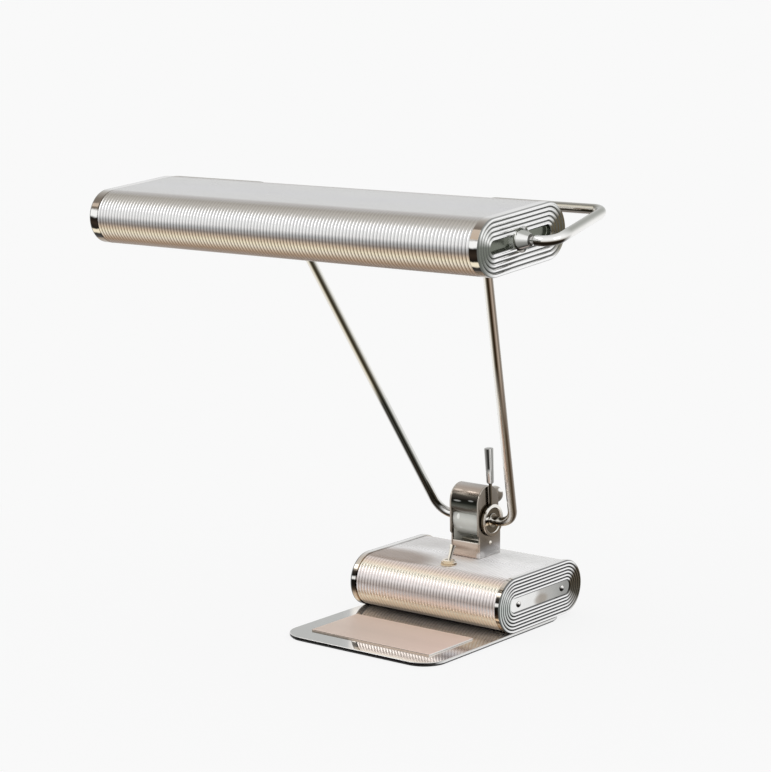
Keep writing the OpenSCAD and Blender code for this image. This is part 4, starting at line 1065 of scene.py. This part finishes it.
def lock_pieces():
    """The dished collar on the pivot's axis, and its lever."""
    rim, lip, dish = FACE_X + LOCK_T, LOCK_R - 3.4, FACE_X + 2.9
    lathe("lock_dish", [(FACE_X, TUBE_R), (FACE_X, LOCK_R - 0.5), (FACE_X + 0.5, LOCK_R), (rim - 0.6, LOCK_R),
                        (rim - 0.15, LOCK_R - 0.25), (rim, LOCK_R - 0.8), (rim, lip + 1.0),
                        (rim - 0.4, lip + 0.2), (dish + 0.5, lip - 0.2), (dish, lip - 0.8), (dish, 7.2),
                        (rim - 0.8, 6.9), (rim - 0.5, 6.4), (rim - 0.5, TUBE_R)],
          AT_PIVOT, ("lock", "lock_collar", "cap_chrome"), collar_metal(), 96)
    grip, end = LOBE.z - PIVOT.z + LOBE_R + 3, LEVER_LEN
    middle = Matrix.Translation((FACE_X + LOCK_T / 2, 0, 0))
    lathe("lever_rod", [(LOCK_R - 3.1, SHANK_R), (grip, SHANK_R), (grip + 0.2, 2.6), (grip + 0.9, 3.3),
                        (grip + 1.6, 3.68), (end - 0.9, LEVER_R - 0.03), (end - 0.35, LEVER_R - 0.12),
                        (end - 0.1, LEVER_R - 0.35), (end, LEVER_R - 0.7), (end, 0)],
          AT_PIVOT @ Matrix.Rotation(LEVER_LEAN, 4, "X") @ middle @ UPRIGHT,
          ("lock", "lock_lever", "lever_chrome"), lever_metal(), 48)


def hinge_pieces():
    bracket_pieces()
    shoe_piece()
    side = INNER_X - 0.3
    barrel = [(side - 0.4, BARREL_R), (side, BARREL_R - 0.4), (side, TUBE_R)]
    lathe("barrel_drum", [(-x, r) for x, r in reversed(barrel)] + barrel, AT_PIVOT,
          ("yoke", "pivot_barrel", "barrel_satin"),
          section_metal("barrel_metal", BARREL_TONES, (0.3, 0.42), BARREL_PAINTED_HIGHLIGHTS, wear=0.04, share=0.15), 96)
    lock_pieces()
    start = math.degrees(math.acos((KNOB_R - 1.5) / KNOB_R))
    dome = [(y, abs(r)) for y, r in arc_points((KNOB_Y, 0), KNOB_R, 180 - start, 0, 22)]
    lathe("knob_dome", [(LOBE.y + LOBE_R + 0.3, KNOB_R / 2), (dome[0][0] - 0.2, KNOB_R / 2), *dome[:-1],
                        (KNOB_Y + KNOB_R, 0)],
          Matrix.Translation((0, 0, KNOB_Z)) @ Matrix.Rotation(math.pi / 2, 4, "Z"),
          ("base", "tension_knob", "cap_chrome"), knob_metal(), 48)
    # The left collar is painted dark as shade, paler where it faces up
    edge = COLLAR_R - 0.6
    lathe("collar_left", [(0, TUBE_R), (0, edge), (0.6, COLLAR_R), (COLLAR_L - 0.6, COLLAR_R),
                          (COLLAR_L, edge), (COLLAR_L, TUBE_R)],
          Matrix.Translation(PIVOT - Vector((FACE_X, 0, 0))) @ side_turn(-1),
          ("yoke", "left_collar", "cap_chrome"),
          section_metal("left_collar_painted_shade", [(-120, (40, 38, 34)), (0, (60, 56, 50)), (60, (130, 124, 114)),
                                        (120, (60, 56, 50))]), 48)
    # The cross pin is painted darker where it faces down and bright where it faces up
    pin_look = section_metal("pin_metal", [(-120, (120, 112, 100)), (0, (214, 206, 192)),
                                           (60, (250, 246, 238)), (120, (230, 224, 212))])
    pin = ("base", "cross_pin", "bright_screws")
    for hand, side in SIDES:
        lathe(f"pin_head_{side}", [(0, 2.2), (0.25, 2.15), (0.6, 1.7), (0.85, 1.0), (1.0, 0)],
              Matrix.Translation((hand * BRACKET_X, PIN_Y, PIN_Z)) @ side_turn(hand), pin, pin_look, 24)
    lathe("pin_shaft", [(-BRACKET_X, 0), (-BRACKET_X, PIN_R), (BRACKET_X, PIN_R), (BRACKET_X, 0)],
          Matrix.Translation((0, PIN_Y, PIN_Z)), pin, pin_look, 24)


def switch_pieces():
    # The gold nut and sleeve are painted darker where they face down and paler where they face up
    gold = section_metal("nut_metal", [(-120, (104, 84, 60)), (-20, (186, 160, 124)), (30, (236, 220, 194)),
                                       (80, (236, 224, 206)), (130, (250, 246, 238))])
    up = Matrix.Translation((TOGGLE.x, TOGGLE.y, HOUSING_TOP)) @ UPRIGHT
    nut, hole, bore = ("base", "switch_nut", "switch_metal"), BUSHING_R + 0.05, 3.4
    lathe("switch_washer", [(0, hole), (0, WASHER_R - 0.2), (0.3, WASHER_R), (0.8, WASHER_R - 0.05),
                            (1.0, WASHER_R - 0.3), (1.0, hole)], up, nut, gold, 48)
    soften(lathe("switch_hex", [(1.0, hole), (1.0, NUT_R - 0.1), (1.1, NUT_R), (3.2, NUT_R),
                                (3.5, NUT_R - 0.4), (3.5, hole)], up, nut, gold, 6, 20), 0.2, 2)
    lathe("switch_sleeve", [(-5.5, bore), (-5.5, BUSHING_R), (4.4, BUSHING_R), (4.7, BUSHING_R - 0.3),
                            (4.7, bore + 0.5), (4.3, bore)],
          up, ("base", "switch_bushing", "switch_metal"), gold, 48)
    ball = [(x, abs(r)) for x, r in arc_points((0, 0), BALL_R, 180, 34, 10)]
    lathe("bat_rod", [(-BALL_R, 0), *ball[1:], (BAT_LEN - 6, 2.2), (BAT_LEN - 3, 2.6), (BAT_LEN - 1.6, 2.95),
                      (BAT_LEN - 0.6, 3.1), (BAT_LEN - 0.15, 2.9), (BAT_LEN, 2.1), (BAT_LEN, 0)],
          Matrix.Translation(TOGGLE) @ Matrix.Rotation(-BAT_TILT, 4, "X") @ UPRIGHT,
          ("toggle", "toggle_bat", "switch_metal"), bat_metal(), 32)


def cap_screw_pieces():
    face = HOUSING["ribs"] * RIB_PITCH / 2 + HOUSING["floor"]
    rod_y = HOUSING["span"] / 2 - SCREW_INSET
    metal = section_metal("screw_metal", SCREW_TONES)
    profile = [(-SCREW_DEPTH, 0), (-SCREW_DEPTH, SCREW_ROD_R), (0.0, SCREW_ROD_R), (0.0, SCREW_R),
               (0.35, SCREW_R - 0.02), (0.9, 2.7), (1.5, 1.9), (1.85, 1.0), (2.0, 0)]
    for hand, side in SIDES:
        for y, end in ((-rod_y, "front"), (rod_y, "rear")):
            lathe(f"screw_{side}_{end}", profile,
                  Matrix.Translation((hand * face, y, HOUSING_Z)) @ side_turn(hand),
                  ("base", "cap_screws", "bright_screws"), metal, 32)


# Solids that stay

def dress_solids():
    """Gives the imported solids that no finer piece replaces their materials."""
    looks = (
        (plain("felt", (34, 38, 37), 0.0, (0.85, 0.95), 0.2, 400.0, 0.6), "base_felt"),
        (plain("reflector_enamel", (240, 240, 236), 0.0, (0.25, 0.35), 0.02, 60.0, 0.03), "reflector"),
        (plain("plain_steel", (150, 150, 148), 1.0, (0.3, 0.45), 0.1, 200.0, 0.1),
         "plate_screws", "tie_rods", "backing_plate", "bracket_screws", "bracket_nuts", "barrel_set_screws",
         "stud_nut_left", "stud_nut_right", "bridge_rivets", "tension_screw", "socket_bridge"),
        (stud_metal(), "pivot_stud_left", "pivot_stud_right"),
        (plain("ballast_iron", (70, 69, 70), 0.6, (0.6, 0.8), 0.2, 90.0, 0.5),
         "ballast_left", "ballast_right"),
        (plain("phenolic", (62, 40, 30), 0.0, (0.25, 0.4), 0.15, 80.0, 0.08),
         "socket_left", "socket_right", "switch_body"),
        (plain("brass", (198, 170, 108), 1.0, (0.2, 0.35), 0.1, 150.0, 0.05),
         "bulb_base_left", "bulb_base_right", "pivot_bush_left", "pivot_bush_right"),
        (plain("frosted_glass", (240, 238, 230), 0.0, (0.45, 0.55), 0.02, 90.0, 0.05,
               Transmission_Weight=0.25), "bulb_left", "bulb_right"),
        (plain("grommet_rubber", (24, 24, 24), 0.0, (0.6, 0.75), 0.2, 200.0, 0.3), "cord_grommet"),
        (plain("terminal_plastic", (220, 214, 196), 0.0, (0.4, 0.55), 0.05, 90.0, 0.1), "terminal_block"))
    for mat, *nodes in looks:
        for node in nodes:
            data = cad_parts[node].data
            data.materials.clear()
            data.materials.append(mat)


# Studio

def show_white(sh, lit, white, out, share=1.0):
    """Shows plain white to the camera and in mirrors and glass, by a share, and lights the lamp with lit."""
    ray = sh.node("ShaderNodeLightPath").outputs
    mirrored = sh.math("MAXIMUM", ray["Is Camera Ray"], ray["Is Glossy Ray"])
    seen = sh.math("MAXIMUM", mirrored, ray["Is Transmission Ray"])
    join = sh.node("ShaderNodeMixShader")
    share = sh.math("MULTIPLY", seen, share)
    for socket, value in zip(join.inputs, (share, lit.outputs[0], white.outputs[0])):
        sh.put(socket, value)
    sh.put(out.inputs["Surface"], join.outputs[0])


def studio():
    scene = bpy.context.scene
    scene.view_settings.view_transform = "Standard"
    scene.world = bpy.data.worlds.new("studio")
    sh = Shader("studio", scene.world)
    sh.tree.nodes.clear()
    lit, white = [sh.node("ShaderNodeBackground", Color=WHITE, Strength=s) for s in (WORLD_LIGHT, BACKGROUND)]
    show_white(sh, lit, white, sh.node("ShaderNodeOutputWorld"))

    me = bpy.data.meshes.new("floor")
    corners = [(x * FLOOR_REACH, y * FLOOR_REACH, 0) for x, y in ((-1, -1), (1, -1), (1, 1), (-1, 1))]
    me.from_pydata(corners, [], [[0, 1, 2, 3]])
    floor = bpy.data.objects.new("floor", me)
    scene.collection.objects.link(floor)
    sh = Shader("floor")
    sh.finish((FLOOR_GREY, FLOOR_GREY, FLOOR_GREY, 1), 0.0, 1.0, Specular_IOR_Level=0.0)
    away = sh.vector("LENGTH", sh.node("ShaderNodeNewGeometry").outputs["Position"])
    share = sh.remap(away, SHADOW_NEAR, SHADOW_FAR, SHADOW_SHARE, 1.0, "SMOOTHSTEP")
    white = sh.node("ShaderNodeEmission", Color=WHITE, Strength=BACKGROUND)
    show_white(sh, sh.bsdf, white, sh.tree.nodes["Material Output"], share)
    me.materials.append(sh.owner)

    for name, (where, size, power) in LAMPS.items():
        data = bpy.data.lights.new(name, "AREA")
        data.size, data.energy = size, power
        aim(name, data, Vector(where), LAMP_TARGET - Vector(where))


def aim(name, data, where, way):
    """An object at a place in metres, looking along a direction."""
    ob = bpy.data.objects.new(name, data)
    ob.location = where
    ob.rotation_mode = "QUATERNION"
    ob.rotation_quaternion = way.to_track_quat("-Z", "Y")
    bpy.context.scene.collection.objects.link(ob)
    return ob


def camera():
    level = math.cos(PITCH)
    back = Vector((math.sin(AZIMUTH) * level, -math.cos(AZIMUTH) * level, math.sin(PITCH)))
    data = bpy.data.cameras.new("camera")
    data.sensor_fit = "HORIZONTAL"
    data.sensor_width = SENSOR
    data.lens = FOCAL_PIXELS / PHOTO_WIDTH * SENSOR
    data.clip_end = 100
    bpy.context.scene.camera = aim("camera", data, CAMERA_TARGET + back * DISTANCE, -back)


shell_pieces()
tube_pieces()
base_pieces()
hinge_pieces()
switch_pieces()
cap_screw_pieces()
cone_pieces()
dress_solids()
studio()
camera()
